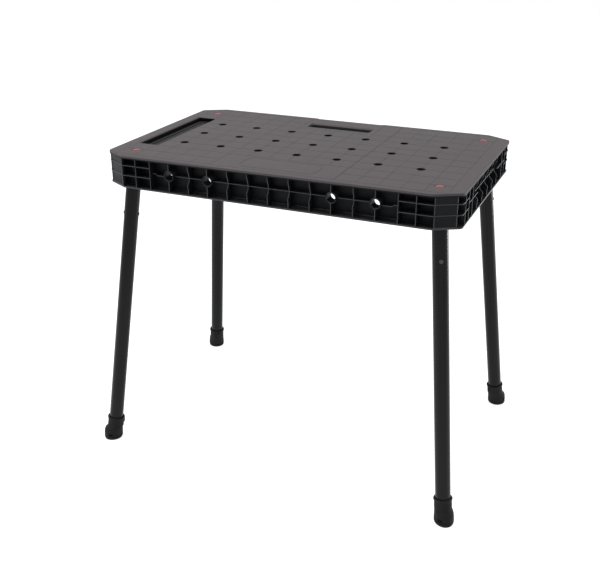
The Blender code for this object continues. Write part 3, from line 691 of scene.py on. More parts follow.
def tray_hollow():
    """The tray: a left wall that rolls over, a wide soft lip on the right and square ends."""
    low, high, half = TRAY
    left = eased([(-7.4, -1.0), (-6.8, 0.0), (-4.4, 0.3), (-2.0, 1.1), (0.2, 2.8), (1.6, 5.4)], 3)
    left += [(2.0, 9.3), (2.5, 10.5), (3.7, 11.0)]
    rings = []
    for inset, depth in left:
        right = high + TRAY_LIP * (1.0 - min(1.0, max(0.0, depth) / 3.0) ** 0.5)
        end = half + 0.6 * max(0.0, 1 - depth) - (0.8 if depth > 10.9 else 0.0)
        rings.append(ring_at(rounded_box(low + inset, -end, right, end, 4.0), depth))
    return lofted(rings)


def tray_floor_panel():
    """The sunk panel in the tray's floor, which leaves a low ledge along the left and the back."""
    low, _, half = TRAY
    left, right, near, far = low + 12.0, low + 38.0, -half + 3.0, half - 9.0
    rings = []
    for inset, depth in ((0.0, 9.5), (0.0, 11.0), (0.7, 12.0)):
        shape = rounded_box(left + inset, near + inset, right - inset, far - inset, 3.0)
        rings.append(ring_at(shape, depth))
    return lofted(rings)


def slot_hollow():
    """The hand slot, with its back edge rolled over for the fingers."""
    reach, near, far = SLOT
    roll = [(6.6, -1.0), (6.2, 0.0), (4.0, 0.35), (2.1, 1.3), (0.7, 3.0), (0.0, 5.5), (0.0, 40.0)]
    rings = []
    for out, depth in eased(roll[:6], 2) + [roll[6]]:
        side = min(out, 1.2)
        rings.append(ring_at(rounded_box(-reach - side, near - side, reach + side, far + out, 5.0), depth))
    return lofted(rings)


def dog_hole_cutter():
    wide = DOG_HOLE + 0.25
    profile = [(DOG_HOLE, BELOW_DECK), (DOG_HOLE, TOP - 0.3), (wide, TOP), (wide, TOP + 2.0)]
    return lofted(turned(profile, FINE_FACETS))


def deck_small_holes():
    """Holes for the push buttons, and blind holes for the case screws."""
    profile = [(10.3, BELOW_DECK), (10.3, TOP - 1.4), (11.3, TOP), (11.3, TOP + 2.0)]
    holes = [turned(profile, FINE_FACETS, sx * LEG_AT[0], sy * LEG_AT[1]) for sx, sy in CORNERS.values()]
    profile = [(2.0, BELOW_DECK), (2.0, TOP - 10.3)]
    return lofted(*holes, *[turned(profile, 16, x, y) for x, y in SCREWS_AT])


def grip_cutter():
    """The shallow inset in the back edge behind the hand slot."""
    half, inset = GRIP
    near = HALF_DEPTH - inset
    far = HALF_DEPTH + inset
    shape = [(-half, near), (half, near), (half + 2 * inset, far), (-half - 2 * inset, far)]
    return lofted([ring_at(shape, -3.0), ring_at(shape, 90.0)])


def groove(start, end, wide, deep):
    """The rings of a shallow line pressed into the deck between two points."""
    a, b = Vector(start), Vector(end)
    side = (b - a).normalized().orthogonal()
    rings = []
    for half, depth in ((wide, -1.0), (wide, 0.0), (wide / 2, deep)):
        corners = [a - side * half, b - side * half, b + side * half, a + side * half]
        rings.append(ring_at([tuple(point) for point in corners], depth))
    return rings


def grid_lines(long_way):
    """The measuring grid, which stops at the tray, the label field and the hand slot."""
    lines = []
    if long_way:
        runs = {-240: [(-384, 384)], -192: [(-384, -144), (144, 384)], 192: [(-384, -98), (98, 384)]}
        runs[240] = [(-384, -98), (98, 384)]
        for y in (-144, -96, -48, 0, 48, 96, 144):
            runs[y] = [(-330, 384)]
        for y, spans in runs.items():
            lines += [groove((a, y), (b, y), 0.75, 1.0) for a, b in spans]
    else:
        runs = {-384: [(-240, -150), (150, 240)], -336: [(-240, -150), (150, 240)]}
        for k in range(-6, 9):
            x = 48 * k
            runs[x] = [(-144 if abs(x) < 144 else -240, 144 if abs(x) < 96 else 240)]
        for x, spans in runs.items():
            wide, deep = (0.6, 0.7) if x == 144 else (0.45, 0.45)
            lines += [groove((x, a), (x, b), wide, deep) for a, b in spans]
    return lofted(*lines)


def label_line():
    """The outline of the label field, whose middle is left bare."""
    middle_x, middle_y = LABEL_MIDDLE
    half_x, half_y = LABEL_HALF
    quarter = [(half_x, half_y - 18.0), (half_x - 9.0, half_y)]
    upper = quarter + [(-x, y) for x, y in reversed(quarter)]
    shape = [(-x, -y) for x, y in upper] + upper
    points = []
    for k, corner in enumerate(shape):
        points += fillet(shape[k - 1], corner, shape[(k + 1) % len(shape)], 5.0, 3)
    rings = []
    for edge, depth in ((0.45, -1.0), (0.45, 0.5), (-0.45, 0.5), (-0.45, -1.0)):
        grown = [(middle_x + x + edge * x / half_x, middle_y + y + edge * y / half_y) for x, y in points]
        rings.append(ring_at(grown, depth))
    return lofted(rings, closed=True)


def inset_at(x, y):
    """How far a point is inside the top's outline."""
    x, y = abs(x), abs(y)
    cut = corner_normal().dot(Vector((HALF_LENGTH - CORNER_CUT[0] - x, HALF_DEPTH - y)))
    return min(HALF_LENGTH - x, HALF_DEPTH - y, cut)


def deck_finish_at(point, normal):
    """A deck face's finish: 0 on skin and skirt, 1 on black, 2 and 3 on the tray's floor and walls, which
    are darker as painted shade.
    """
    depth = TOP - point.z
    in_tray = point.x < TRAY[1] + 0.5 and abs(point.y) < TRAY[2] + 2.0 and 1.6 < depth < 13.0
    # Darker colours on the tray's floor and walls are painted shade.
    if in_tray and normal.z > -0.5:
        return 3 if normal.z < 0.6 else 2
    # The up-facing skin and the rim get the lighter charcoal, partly the skin's own grey and partly painted
    # sheen; faces inside and under the deck stay black.
    skirt = depth < SKIRT and inset_at(point.x, point.y) < GRIP[1] + 0.5 and normal.z > -0.5
    return 0 if skirt or (normal.z > 0.35 and depth < 13.0) else 1


def make_deck():
    deck = deck_panel()
    bosses = copies_on_grid("hole_bosses", hole_boss(), COLUMNS, ROWS, PITCH)
    mould(deck, "UNION", deck_ribs(True), deck_ribs(False), deck_wells(), bosses, screw_bosses())
    mould(deck, "DIFFERENCE", tray_hollow(), tray_floor_panel(), slot_hollow())
    mould(deck, "DIFFERENCE", grid_lines(True), grid_lines(False), label_line())
    dog_holes = copies_on_grid("dog_holes", dog_hole_cutter(), COLUMNS, ROWS, PITCH)
    mould(deck, "DIFFERENCE", dog_holes, deck_small_holes(), grip_cutter())
    finish_faces(deck, ("deck", "frame", "tray", "well"), deck_finish_at)
    dress(deck, "deck", ["deck_top"])


# The ribbed frame.

def frame_walls():
    """The frame's web with its top and bottom flanges, swept round the top's outline."""
    face = PANEL_RECESS
    lip = SKIRT + 0.3
    outer = [
        (0.5, lip), (0.1, lip + 0.15), (0.0, lip + 0.6), (0.0, lip + 1.7), (0.3, lip + 2.0),
        (face - 0.4, lip + 2.0), (face, lip + 2.5), (face, BASE - 4.4), (face - 0.6, BASE - 3.5),
        (0.5, BASE - 3.5), (0.0, BASE - 3.0), (0.0, BASE - 0.9), (0.25, BASE - 0.25), (0.8, BASE),
    ]
    rings = [(inset, inset, depth) for inset, depth in outer]
    rings += [(WALL_INSET - 0.5, CORNER_ROOM - 0.5, BASE), (WALL_INSET, CORNER_ROOM, BASE - 0.5)]
    rings += [(WALL_INSET, CORNER_ROOM, 3.8), (WALL_INSET - 0.5, CORNER_ROOM - 0.5, 3.3)]
    rings += [(2.6, 2.6, 3.3), (2.6, 2.6, lip)]
    walls = [ring_at(outline(inset, cut), depth) for inset, cut, depth in rings]
    return lofted(walls, closed=True, name="ribbed_frame")


# The front edge of a rib from the top down, as (set in, depth).
# It draws back round the shelf and swells into a lug.
WAVED_EDGE = [
    (1.4, RIB_TOP), (1.4, 12.0), (2.6, 18.0), (5.6, 25.0), (7.4, 31.5), (7.8, 38.5), (6.6, 43.0),
    (3.6, 46.5), (0.9, 49.5), (0.2, 52.0), (0.4, 55.0), (1.2, 59.0), (1.6, 63.0), (1.6, RIB_BASE),
]
STRAIGHT_EDGE = [(0.6, RIB_TOP), (0.6, RIB_BASE)]
HOLE_SLEEVE = [(11.7, 0.4), (12.2, 0.9), (12.2, 27.0), (11.8, 27.4)]
HOLE_BORE = [(10.5, -3.0), (10.5, 0.4), (10.0, 1.0), (10.0, 40.0)]


def rib(edge, depth_in):
    """An upright rib seen from its end: Y goes in from the outline and Z down from the work surface."""
    front = eased(edge) if len(edge) > 2 else edge
    rings = []
    for x, ease in ((-RIB / 2, 0.35), (-RIB / 2 + 0.35, 0.0), (RIB / 2 - 0.35, 0.0), (RIB / 2, 0.35)):
        ring = [(x, inset + ease, -depth) for inset, depth in front]
        rings.append(ring + [(x, depth_in, -RIB_BASE), (x, depth_in, -RIB_TOP)])
    return lofted(rings)


def shelf_section(x, depth, front, back):
    half = SHELF / 2
    return [
        (x, front + 0.3, -depth + half), (x, front, -depth + half - 0.3), (x, front, -depth - half + 0.3),
        (x, front + 0.3, -depth - half), (x, back, -depth - half), (x, back, -depth + half),
    ]


def side_shelves(stations, corner_span):
    """The level shelves of one side, seen as a rib is: one through the stations, and two in each end."""
    back = POCKET + BITE
    shelves = [[shelf_section(x, depth, front, back) for x, depth, front in stations]]
    for sign in (-1, 1):
        ends = sorted(sign * x for x in corner_span)
        shelves += [[shelf_section(x, depth, 0.9, back) for x in ends] for depth in CORNER_SHELVES]
    return lofted(*shelves)


SIDE_TURN = {"front": 0.0, "right": math.pi / 2, "back": math.pi, "left": -math.pi / 2}


def side_place(side, along):
    """A place on one side of the outline, where along is X on the long sides and Y on the short ones."""
    x, y = {
        "front": (along, -HALF_DEPTH),
        "back": (along, HALF_DEPTH),
        "right": (HALF_LENGTH, along),
        "left": (-HALF_LENGTH, along),
    }[side]
    return (x, y, TOP, SIDE_TURN[side])


def rib_places(waved):
    """Waved ribs in the middle bays, and straight ones through the holes and towards the corners."""
    places = []
    for side in ("front", "back"):
        for k in range(-6, 7):
            straight = abs(k) == 6 or 48.0 * k in SIDE_HOLES
            if straight != waved:
                places.append(side_place(side, 48.0 * k))
        if not waved:
            places += [side_place(side, sign * END_RIBS[0]) for sign in (-1, 1)]
    for side in ("left", "right"):
        for k in range(-3, 4):
            if waved == (abs(k) < 3):
                places.append(side_place(side, 48.0 * k))
        if not waved:
            places += [side_place(side, sign * y) for sign in (-1, 1) for y in SHORT_END_RIBS]
    return places


def round_through_web(profile):
    """A sleeve or bore of an edge hole, seen as a rib is, from (radius, set in) pairs."""
    rings = []
    for radius, y in profile:
        rings.append([(px, y, pz - HOLE_DEPTH) for px, pz, _ in circle(radius, 0.0, FINE_FACETS)])
    return lofted(rings)


def corner_cut_frame():
    """Frame along a corner cut: X along it from the long side, Y inward, Z up from the work surface."""
    inward = -corner_normal()
    made = Matrix.Identity(4)
    made.col[0] = (-inward.y, inward.x, 0.0, 0.0)
    made.col[1] = (inward.x, inward.y, 0.0, 0.0)
    made.col[3] = (HALF_LENGTH - CORNER_CUT[0], HALF_DEPTH, TOP, 1.0)
    return made


def on_cut(x, y):
    """A point of the outline's plane, from its place along the back right corner cut and inward from it."""
    return tuple((corner_cut_frame() @ Vector((x, y, 0.0))).xy)


def corner_edges():
    """The rounded upright edge at each end of a corner panel."""
    edges = []
    for sx, sy in CORNERS.values():
        flip = Matrix.Diagonal((sx, sy, 1.0, 1.0)) @ corner_cut_frame()
        low, high = PANEL_ENDS[sx]
        for middle, front in ((low, 0.5), (high - 0.8, PANEL_RECESS - 0.8)):
            rings = []
            for x, ease in ((-1.0, 0.35), (-0.65, 0.0), (0.65, 0.0), (1.0, 0.35)):
                face = front + ease
                section = [(face, -RIB_TOP), (face, -RIB_BASE), (6.0, -RIB_BASE), (6.0, -RIB_TOP)]
                rings.append(placed(flip, [(middle + x, y, z) for y, z in section]))
            edges.append(rings)
    return lofted(*edges)


def corner_shelves():
    """Low ledges across each corner panel, and the shelves that run on from it to the short side."""
    side_rib = SHORT_END_RIBS[1]
    shelves = []
    for sx, sy in CORNERS.values():
        flip = Matrix.Diagonal((sx, sy, 1.0, 1.0)) @ corner_cut_frame()
        low, high = PANEL_ENDS[sx]
        plate = [(HALF_LENGTH - 0.8, side_rib), *outline(0.8)[:7], on_cut(high - 1.0, 0.8)]
        plate += [on_cut(high - 1.0, CUT_POCKET + BITE), (HALF_LENGTH - POCKET - BITE, side_rib)]
        flipped = [(sx * x, sy * y) for x, y in plate]
        for depth in CORNER_SHELVES:
            ledge = [shelf_section(x, depth, PANEL_LEDGE, PANEL_RECESS + 1.0) for x in (low, high)]
            shelves.append([placed(flip, ring) for ring in ledge])
            shelves.append([ring_at(flipped, depth - SHELF / 2), ring_at(flipped, depth + SHELF / 2)])
    return lofted(*shelves)


def side_pits(long_way):
    """A deep pocket behind the ribs of each of two sides, with a sloped foot to its web."""
    wall, end = (HALF_DEPTH - POCKET, END_RIBS[1]) if long_way else (HALF_LENGTH - POCKET, SHORT_PITS)
    roof, floor = PIT_DEPTHS
    outside = wall + POCKET + 4.0
    section = [(wall, roof), (wall, floor - 2.0), (wall + 2.0, floor), (outside, floor), (outside, roof)]
    pits = []
    for sign in (-1, 1):
        if long_way:
            rings = [[(along, sign * out, TOP - depth) for out, depth in section] for along in (-end, end)]
        else:
            rings = [[(sign * out, along, TOP - depth) for out, depth in section] for along in (-end, end)]
        pits.append(rings)
    return lofted(*pits)


def corner_pits():
    """The deep bay beyond each right-hand panel, which opens into the first bay of the short side."""
    edge = PANEL_ENDS[1][1]
    shape = [on_cut(90.0, -6.0), on_cut(edge, -6.0), on_cut(edge, CUT_POCKET)]
    shape += [(HALF_LENGTH - POCKET, SHORT_PITS - 1.0), (HALF_LENGTH + 6.0, SHORT_PITS - 1.0)]
    pits = []
    for sign in (-1, 1):
        flipped = [(x, sign * y) for x, y in shape]
        pits.append([ring_at(flipped, depth) for depth in PIT_DEPTHS])
    return lofted(*pits)


def screw_tabs():
    """Tabs on the inside of the frame, under the deck's bosses."""
    half = TAB_HALF
    wall_x = HALF_LENGTH - WALL_INSET + BITE
    wall_y = HALF_DEPTH - WALL_INSET + BITE
    tabs = []
    for x, y in FRAME_SCREWS_AT:
        if abs(x) > 300.0:
            near, far = sorted((math.copysign(abs(x) - half, x), math.copysign(wall_x, x)))
            low, high = (near, y - half), (far, y + half)
        else:
            near, far = sorted((math.copysign(abs(y) - half, y), math.copysign(wall_y, y)))
            low, high = (x - half, near), (x + half, far)
        tabs.append(block((*low, TOP - TAB_DEPTHS[0]), (*high, TOP - TAB_DEPTHS[1]), 0.25))
    return lofted(*tabs)


def tab_holes():
    return lofted(*[turned([(2.3, TOP - 25.0), (2.3, TOP - 17.0)], 20, x, y) for x, y in FRAME_SCREWS_AT])


def on_painted_highlight_face(point, normal):
    """Whether a face gets the lighter edge finish, a painted highlight: the outer edges of ribs, shelves
    and sleeves, and the bottom flange.
    """
    depth = TOP - point.z
    inset = inset_at(point.x, point.y)
    if depth > BASE - 4.5:
        return normal.z > -0.5 and inset < POCKET
    outward = Vector((point.x / HALF_LENGTH, point.y / HALF_DEPTH, 0.0)).normalized()
    on_panel = abs(inset - PANEL_RECESS) < 0.1
    on_sleeve = min(math.hypot(abs(point.x) - x, depth - HOLE_DEPTH) for x in SIDE_HOLES[2:]) < 12.4
    if on_sleeve and abs(point.x) < HALF_LENGTH - POCKET:
        return normal.z > 0.2 or (depth > HOLE_DEPTH + 1.5 and normal.dot(outward) > 0.5)
    return depth > SKIRT + 2.2 and inset < 9.0 and normal.dot(outward) > 0.25 and not on_panel


def make_frame():
    walls = frame_walls()
    back = POCKET + BITE
    mould(walls, "DIFFERENCE", side_pits(True), side_pits(False), corner_pits())
    waved = copies("waved_ribs", rib(WAVED_EDGE, back), rib_places(True))
    straight = copies("straight_ribs", rib(STRAIGHT_EDGE, back), rib_places(False))
    mould(walls, "UNION", waved, straight, corner_edges())
    high, low = HOLE_DEPTH, HOLE_DEPTH + 3.75
    steps = ((-288, high), (-277, high), (-273.5, low), (-246, low), (-243, high))
    stations = [(x, depth, 8.0) for x, depth in steps]
    stations += [(-x, depth, front) for x, depth, front in reversed(stations)]
    shelves = side_shelves(stations, (288.0, END_RIBS[1]))
    places = [side_place("front", 0.0), side_place("back", 0.0)]
    mould(walls, "UNION", copies("long_shelves", shelves, places))
    stations = [(-SHORT_END_RIBS[0], high, 0.9), (-96, high, 0.9), (-94, high, 8.0)]
    stations += [(-x, depth, front) for x, depth, front in reversed(stations)]
    shelves = side_shelves(stations, SHORT_END_RIBS)
    places = [side_place("left", 0.0), side_place("right", 0.0)]
    mould(walls, "UNION", copies("short_shelves", shelves, places))
    holes = [side_place(side, x) for side in ("front", "back") for x in SIDE_HOLES]
    sleeves = copies("hole_sleeves", round_through_web(HOLE_SLEEVE), holes)
    mould(walls, "UNION", corner_shelves(), sleeves, screw_tabs())
    bores = copies("hole_bores", round_through_web(HOLE_BORE), holes)
    mould(walls, "DIFFERENCE", bores, tab_holes(), grip_cutter())
    # Faces that catch the lamps get the lighter edge finish, a painted highlight.
    finish_faces(walls, ("frame", "edge"), on_painted_highlight_face)
    dress(walls, "deck", ["edge_frame"])


# Sockets, buttons, springs and screws.

def level_circle(radius, z, facets):
    """Where a round leg piece meets a level plane, in the leg's frame."""
    return [(x, y, (z - x * math.sin(TILT)) / math.cos(TILT)) for x, y, _ in circle(radius, 0.0, facets)]


def upright_circle(radius, z, facets):
    """A level circle on the button's upright axis, in the leg's frame."""
    return placed(Matrix.Rotation(TILT, 3, "Y"), circle(radius, z, facets))


def socket_body(matrix, name):
    """The tube that takes the leg, with a beaded mouth and the button's cup on top."""
    facets = 64
    mouth = -along_leg(BASE + 8.0)
    rings = [level_circle(SOCKET, -3.3, facets)]
    rings += turned([
        (SOCKET, mouth + 4.6), (SOCKET, mouth + 1.2), (SOCKET - 0.35, mouth + 0.35), (SOCKET - 1.2, mouth),
        (SOCKET_BORE + 0.4, mouth), (SOCKET_BORE, mouth + 0.6), (SOCKET_BORE, -along_leg(TUBE_TOP) + 2.0),
    ], facets)
    rings += [upright_circle(5.3, -20.0, facets), upright_circle(5.3, -SPRING_SEAT, facets)]
    rings += [upright_circle(13.0, -SPRING_SEAT, facets), upright_circle(13.0, -3.3, facets)]
    return lofted(rings, closed=True, matrix=matrix, name=name)


def ear_places(matrix):
    """The frames of a socket's two screw ears, with X outward along the ear."""
    lean = Matrix.Rotation(TILT, 4, "Y")
    return [matrix @ lean @ Matrix.Rotation(turn * math.pi, 4, "Z") for turn in (-0.75, 0.75)]


def socket_ears(matrix):
    low, high = TAB_DEPTHS
    ear = block((15.2, -6.0, -low), (EAR_REACH + 6.0, 6.0, -high), 0.25)
    return lofted(*[[placed(spin, ring) for ring in ear] for spin in ear_places(matrix)])


def socket_gussets(matrix):
    """Three upright gussets on the inner side of a socket."""
    shape = [(18.6, -72.0), (18.6, -28.0), (24.5, -28.0), (24.0, -50.0)]
    gussets = []
    for turn in (0.86, 1.0, 1.14):
        spin = matrix @ Matrix.Rotation(turn * math.pi, 4, "Z")
        gussets.append([placed(spin, [(x, y, z) for x, z in shape]) for y in (-0.9, 0.9)])
    return lofted(*gussets)


def ear_holes(matrix):
    hole = turned([(2.3, -26.0), (2.3, -15.0)], 20, EAR_REACH)
    return lofted(*[[placed(spin, ring) for ring in hole] for spin in ear_places(matrix)])


def make_sockets():
    for corner in CORNERS:
        matrix = leg_frame(corner)
        socket = socket_body(matrix, f"corner_socket_{corner}")
        mould(socket, "UNION", socket_ears(matrix), socket_gussets(matrix))
        mould(socket, "DIFFERENCE", ear_holes(matrix))
        dress(socket, "deck", [f"leg_socket_{corner}"], "socket")


BUTTON = [
    (0.6, 1.18), (2.6, 1.08), (4.8, 0.76), (6.8, 0.25), (8.3, -0.35), (9.3, -0.95), (9.85, -1.6),
    (10.0, -3.3), (12.0, -3.3), (12.2, -3.5), (12.2, 0.2 - BUTTON_FOOT), (12.0, -BUTTON_FOOT),
    (5.0, -BUTTON_FOOT), (5.0, -19.0), (4.5, -19.5),
]


def make_buttons():
    for corner in CORNERS:
        matrix = leg_frame(corner, square=False)
        button = lofted(turned(BUTTON, FINE_FACETS), matrix=matrix, name=f"push_button_{corner}")
        dress(button, f"button_{corner}", [f"release_button_{corner}"], "button")


def make_springs():
    """A coil under each button, from its seat up to the button's foot."""
    seat = TOP - SPRING_SEAT
    low, high = seat + 0.95, TOP - BUTTON_FOOT - 0.95
    for corner, (sx, sy) in CORNERS.items():
        spring = new_object(f"button_coil_{corner}", bpy.data.meshes.new("coil"))
        values = {
            "Turns": 3.5,
            "Radius": 7.2 * MM,
            "Height": (high - low) * MM,
            "Wire": SPRING_WIRE * MM,
            "Finish": FINISH["spring"],
        }
        grow(spring, COIL_TREE, values)
        x, y = sx * LEG_AT[0] * MM, sy * LEG_AT[1] * MM
        spring.data.transform(Matrix.Translation((x, y, low * MM)))
        dress(spring, "deck", [f"button_spring_{corner}"], "spring", 60.0)
        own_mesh(spring)


def screw_template():
    """A pan-head screw with a cross recess, driven upward."""
    screw = lofted(turned([
        (0.4, -25.0), (2.2, -24.9), (3.3, -24.4), (3.9, -23.6), (4.0, -22.7), (4.0, -22.6),
        (2.0, -22.6), (2.0, -12.6), (1.2, -11.4), (0.3, -11.3),
    ], 24))
    for reach, half in ((2.1, 0.45), (0.45, 2.1)):
        rings = []
        for grown, z in ((1.0, -26.0), (1.0, -24.8), (0.55, -23.6)):
            x, y = reach * grown, half * grown
            rings.append([(-x, -y, z), (x, -y, z), (x, y, z), (-x, y, z)])
        mould(screw, "DIFFERENCE", lofted(rings))
    return screw


def make_screws():
    places = [(x, y, TOP, 0.4 * k) for k, (x, y) in enumerate(SCREWS_AT)]
    screws = copies("case_screws", screw_template(), places, FINISH["screw"])
    dress(screws, "deck", SCREW_NODES, "screw", 30.0)


# Legs and feet.

def tube_profile():
    start = -along_leg(TUBE_TOP) - 2.3
    end = -along_leg(TOP - 10.0) + 0.3
    return [
        (TUBE - 0.4, start), (TUBE - 0.1, start - 0.15), (TUBE, start - 0.5), (TUBE, end + 0.5),
        (TUBE - 0.4, end), (TUBE - 1.5, end), (TUBE - 1.5, start),
    ]


def plug_profile():
    top = -along_leg(TUBE_TOP)
    outer = TUBE - 1.8
    return [
        (0.5, top - 0.6), (10.0, top - 0.6), (11.0, top), (TUBE - 1.6, top), (TUBE - 0.5, top - 0.4),
        (TUBE, top - 1.2), (TUBE, top - 2.0), (outer, top - 2.0), (outer, top - 134.4),
        (outer - 0.6, top - 135.0), (outer - 3.0, top - 135.0), (outer - 3.0, top - 5.0), (0.5, top - 5.0),
    ]


PIN = [
    (0.3, -18.6), (1.9, -18.55), (3.0, -18.25), (3.8, -17.9), (4.2, -17.5), (2.5, -17.4),
    (2.5, 17.4), (4.2, 17.5), (3.8, 17.9), (3.0, 18.25), (1.9, 18.55), (0.3, 18.6),
]


def pin_frame(matrix):
    """Frame at the middle of the cross pin, with X along the pin."""
    down = Matrix.Translation((0.0, 0.0, -along_leg(PIN_DEPTH)))
    return matrix @ down @ Matrix.Rotation(PIN_TURN, 4, "Z")


def pin_bore(matrix):
    """The cross hole through a tube and its plug."""
    spin = pin_frame(matrix)
    return lofted([placed(spin, [(x, y, z) for y, z, _ in circle(2.8, 0.0, 24)]) for x in (-26.0, 26.0)])


def toe_ring(height, radius, toe, shift, facets=72):
    """A level ring of the foot, with a toe that swells on the outer side."""
    ring = []
    for x, y, _ in circle(1.0, 0.0, facets):
        reach = radius + toe * max(0.0, x) ** 1.6
        ring.append((shift + reach * x, reach * y, height))
    return ring


def square_ring(radius, along, facets=72):
    """A ring square to the leg, along the leg from the floor."""
    return placed(Matrix.Rotation(-TILT, 3, "Y"), circle(radius, along, facets))


def foot_body(matrix, name):
    """The rubber foot: beaded collar, sleeve, swelling toe and a grooved shoe with a rounded sole."""
    rings = [
        toe_ring(0.0, 17.6, 3.6, 2.2), toe_ring(0.5, 19.2, 3.2, 2.0), toe_ring(1.6, 20.6, 2.4, 1.7),
        toe_ring(3.4, 21.4, 2.2, 1.5), toe_ring(6.0, 21.9, 2.2, 1.3), toe_ring(8.0, 22.1, 2.2, 1.2),
        toe_ring(8.3, 20.9, 2.0, 1.2), toe_ring(10.2, 20.9, 2.0, 1.0), toe_ring(10.6, 22.1, 2.3, 0.9),
        toe_ring(14.0, 22.0, 2.6, 0.5), toe_ring(20.0, 21.5, 3.2, -0.3), toe_ring(25.0, 21.1, 3.6, -1.1),
        toe_ring(28.5, 20.8, 3.3, -2.0), toe_ring(31.0, 20.5, 2.2, -3.0), toe_ring(33.0, 20.2, 0.8, -4.2),
    ]
    collar = (
        (19.95, 35.5), (19.9, 54.2), (20.6, 55.0), (21.25, 56.4), (21.4, 57.8), (21.1, 59.4), (20.3, 60.6),
        (19.2, 61.0), (17.8, 61.0), (17.4, 60.5), (17.4, along_leg(10.0)),
    )
    rings += [square_ring(radius, along) for radius, along in collar]
    return lofted(rings, matrix=matrix, name=name)


def foot_lug(matrix):
    """The small upright lug under the collar, on the inner side."""
    lean = matrix @ Matrix.Rotation(-TILT, 4, "Y")
    steps = ((18.5, 4.0, 41.5, 53.5), (21.2, 3.6, 42.2, 53.2), (21.9, 2.8, 43.4, 52.4))
    rings = []
    for reach, half, low, high in steps:
        ring = [(-reach, -half, low), (-reach, half, low), (-reach, half, high), (-reach, -half, high)]
        rings.append(placed(lean, ring))
    return lofted(rings)


def foot_slots(matrix):
    """Two pockets low in the toe's flanks."""
    slots = []
    for sign in (-1, 1):
        spin = matrix @ Matrix.Rotation(sign * math.radians(52), 4, "Z")
        rings = []
        for reach, half, low, high in ((19.8, 5.0, 12.6, 18.4), (30.0, 6.0, 12.0, 19.4)):
            ring = [(reach, -half, low), (reach, half, low), (reach, half, high), (reach, -half, high)]
            rings.append(placed(spin, ring))
        slots.append(rings)
    return lofted(*slots)


def tread_cuts(matrix):
    """Shallow grooves across the sole."""
    cuts = []
    for x in (-12.0, -6.0, 0.0, 6.0, 12.0, 18.0):
        rings = []
        for half, z in ((1.0, -2.0), (1.0, 0.0), (0.6, 1.2)):
            ring = [(x - half, -30.0, z), (x + half, -30.0, z), (x + half, 30.0, z), (x - half, 30.0, z)]
            rings.append(placed(matrix, ring))
        cuts.append(rings)
    return lofted(*cuts)


def make_legs():
    for corner in CORNERS:
        matrix = leg_frame(corner)
        body = f"leg_{corner}"
        tube = lofted(turned(tube_profile(), 72), closed=True, matrix=matrix, name=f"steel_tube_{corner}")
        mould(tube, "DIFFERENCE", pin_bore(matrix))
        dress(tube, body, [f"leg_tube_{corner}"], "tube")
        plug = lofted(turned(plug_profile(), FINE_FACETS), matrix=matrix, name=f"tube_plug_{corner}")
        mould(plug, "DIFFERENCE", pin_bore(matrix))
        dress(plug, body, [f"leg_plug_{corner}"], "plug")
        lying = pin_frame(matrix) @ Matrix.Rotation(math.pi / 2, 4, "Y")
        pin = lofted(turned(PIN, 32), matrix=lying, name=f"cross_pin_{corner}")
        dress(pin, body, [f"leg_pin_{corner}"], "pin")
        level = leg_frame(corner, square=False, depth=TOP)
        foot = foot_body(level, f"rubber_foot_{corner}")
        mould(foot, "UNION", foot_lug(level))
        mould(foot, "DIFFERENCE", foot_slots(level), tread_cuts(level))
        dress(foot, body, [f"leg_foot_{corner}"], "foot")


# Studio.

def seen_directly(tree):
    """1 for what the camera, a gloss or a clear piece sees, and 0 for the rest."""
    path = tree.nodes.new("ShaderNodeLightPath")
    seen = path.outputs["Is Camera Ray"]
    for ray in ("Is Glossy Ray", "Is Transmission Ray"):
        either = node(tree, "ShaderNodeMath", {0: seen, 1: path.outputs[ray]}, operation="MAXIMUM")
        seen = either.outputs[0]
    return seen


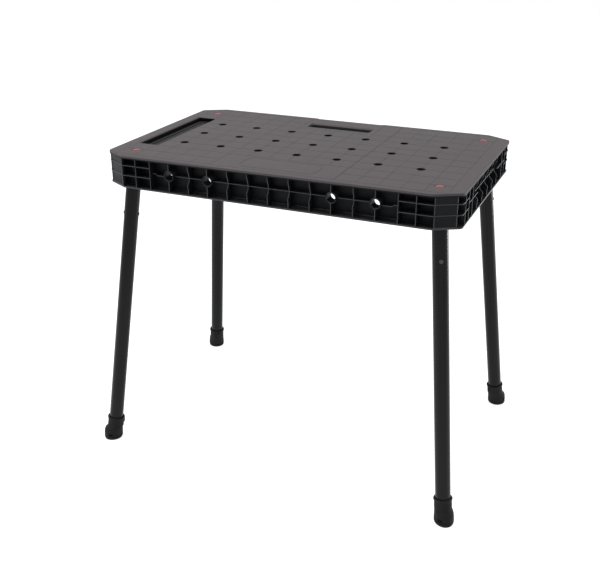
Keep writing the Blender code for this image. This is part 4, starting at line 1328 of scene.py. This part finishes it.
def studio_floor():
    """A wide pale floor that shows white and keeps the bench's shadow."""
    build = bmesh.new()
    half = 9000.0
    corners = [(-half, -half, 0.0), (half, -half, 0.0), (half, half, 0.0), (-half, half, 0.0)]
    build.faces.new([build.verts.new(point) for point in corners])
    floor = new_object("studio_floor", mesh_of(build, "studio_floor"))
    made, tree, shader, _ = finish_base("pale_floor")
    shader.inputs["Base Color"].default_value = (0.8, 0.8, 0.8, 1.0)
    shader.inputs["Roughness"].default_value = 0.9
    shader.inputs["Specular IOR Level"].default_value = 0.1
    lift = node(tree, "ShaderNodeMath", {0: seen_directly(tree), 1: 0.8}, operation="MULTIPLY")
    shader.inputs["Emission Color"].default_value = (1.0, 1.0, 1.0, 1.0)
    tree.links.new(lift.outputs[0], shader.inputs["Emission Strength"])
    floor.data.materials.append(made)


def studio_world(ambient):
    """White where the camera or a gloss sees it, and a softer fill for the rest."""
    world = bpy.data.worlds.new("studio")
    bpy.context.scene.world = world
    world.use_nodes = True
    tree = world.node_tree
    background = tree.nodes["Background"]
    background.inputs["Color"].default_value = (1.0, 1.0, 1.0, 1.0)
    level = node(tree, "ShaderNodeMapRange", {
        "Value": seen_directly(tree),
        "To Min": ambient,
        "To Max": 1.0,
    })
    tree.links.new(level.outputs["Result"], background.inputs["Strength"])


def softbox(name, place, target, size, power):
    lamp = bpy.data.lights.new(name, "AREA")
    lamp.shape = "RECTANGLE"
    lamp.size, lamp.size_y = size
    lamp.energy = power
    made = new_object(name, lamp)
    made.location = place
    made.rotation_euler = (Vector(target) - Vector(place)).to_track_quat("-Z", "Y").to_euler()


def studio_camera():
    lens = bpy.data.cameras.new("camera")
    lens.sensor_width = 36.0
    lens.lens = 53.2962
    lens.clip_start = 0.05
    lens.clip_end = 50.0
    made = new_object("camera", lens)
    made.location = (0.7730, -1.87756, 1.27732)
    made.rotation_euler = (math.radians(90 - 23.691), 0.0, math.radians(23.2385))
    bpy.context.scene.camera = made


make_deck()
make_frame()
make_sockets()
make_buttons()
make_springs()
make_screws()
make_legs()
studio_floor()
studio_world(0.34)
softbox("overhead", (0.1, -0.2, 3.2), (0.0, 0.0, 0.745), (2.6, 2.2), 32.0)
softbox("left_key", (-2.7, -1.5, 2.3), (0.0, -0.1, 0.7), (0.9, 0.9), 46.0)
softbox("right_rim", (2.7, 1.9, 0.8), (0.2, 0.0, 0.4), (0.4, 1.2), 34.0)
studio_camera()

bpy.context.scene.view_settings.view_transform = "Standard"
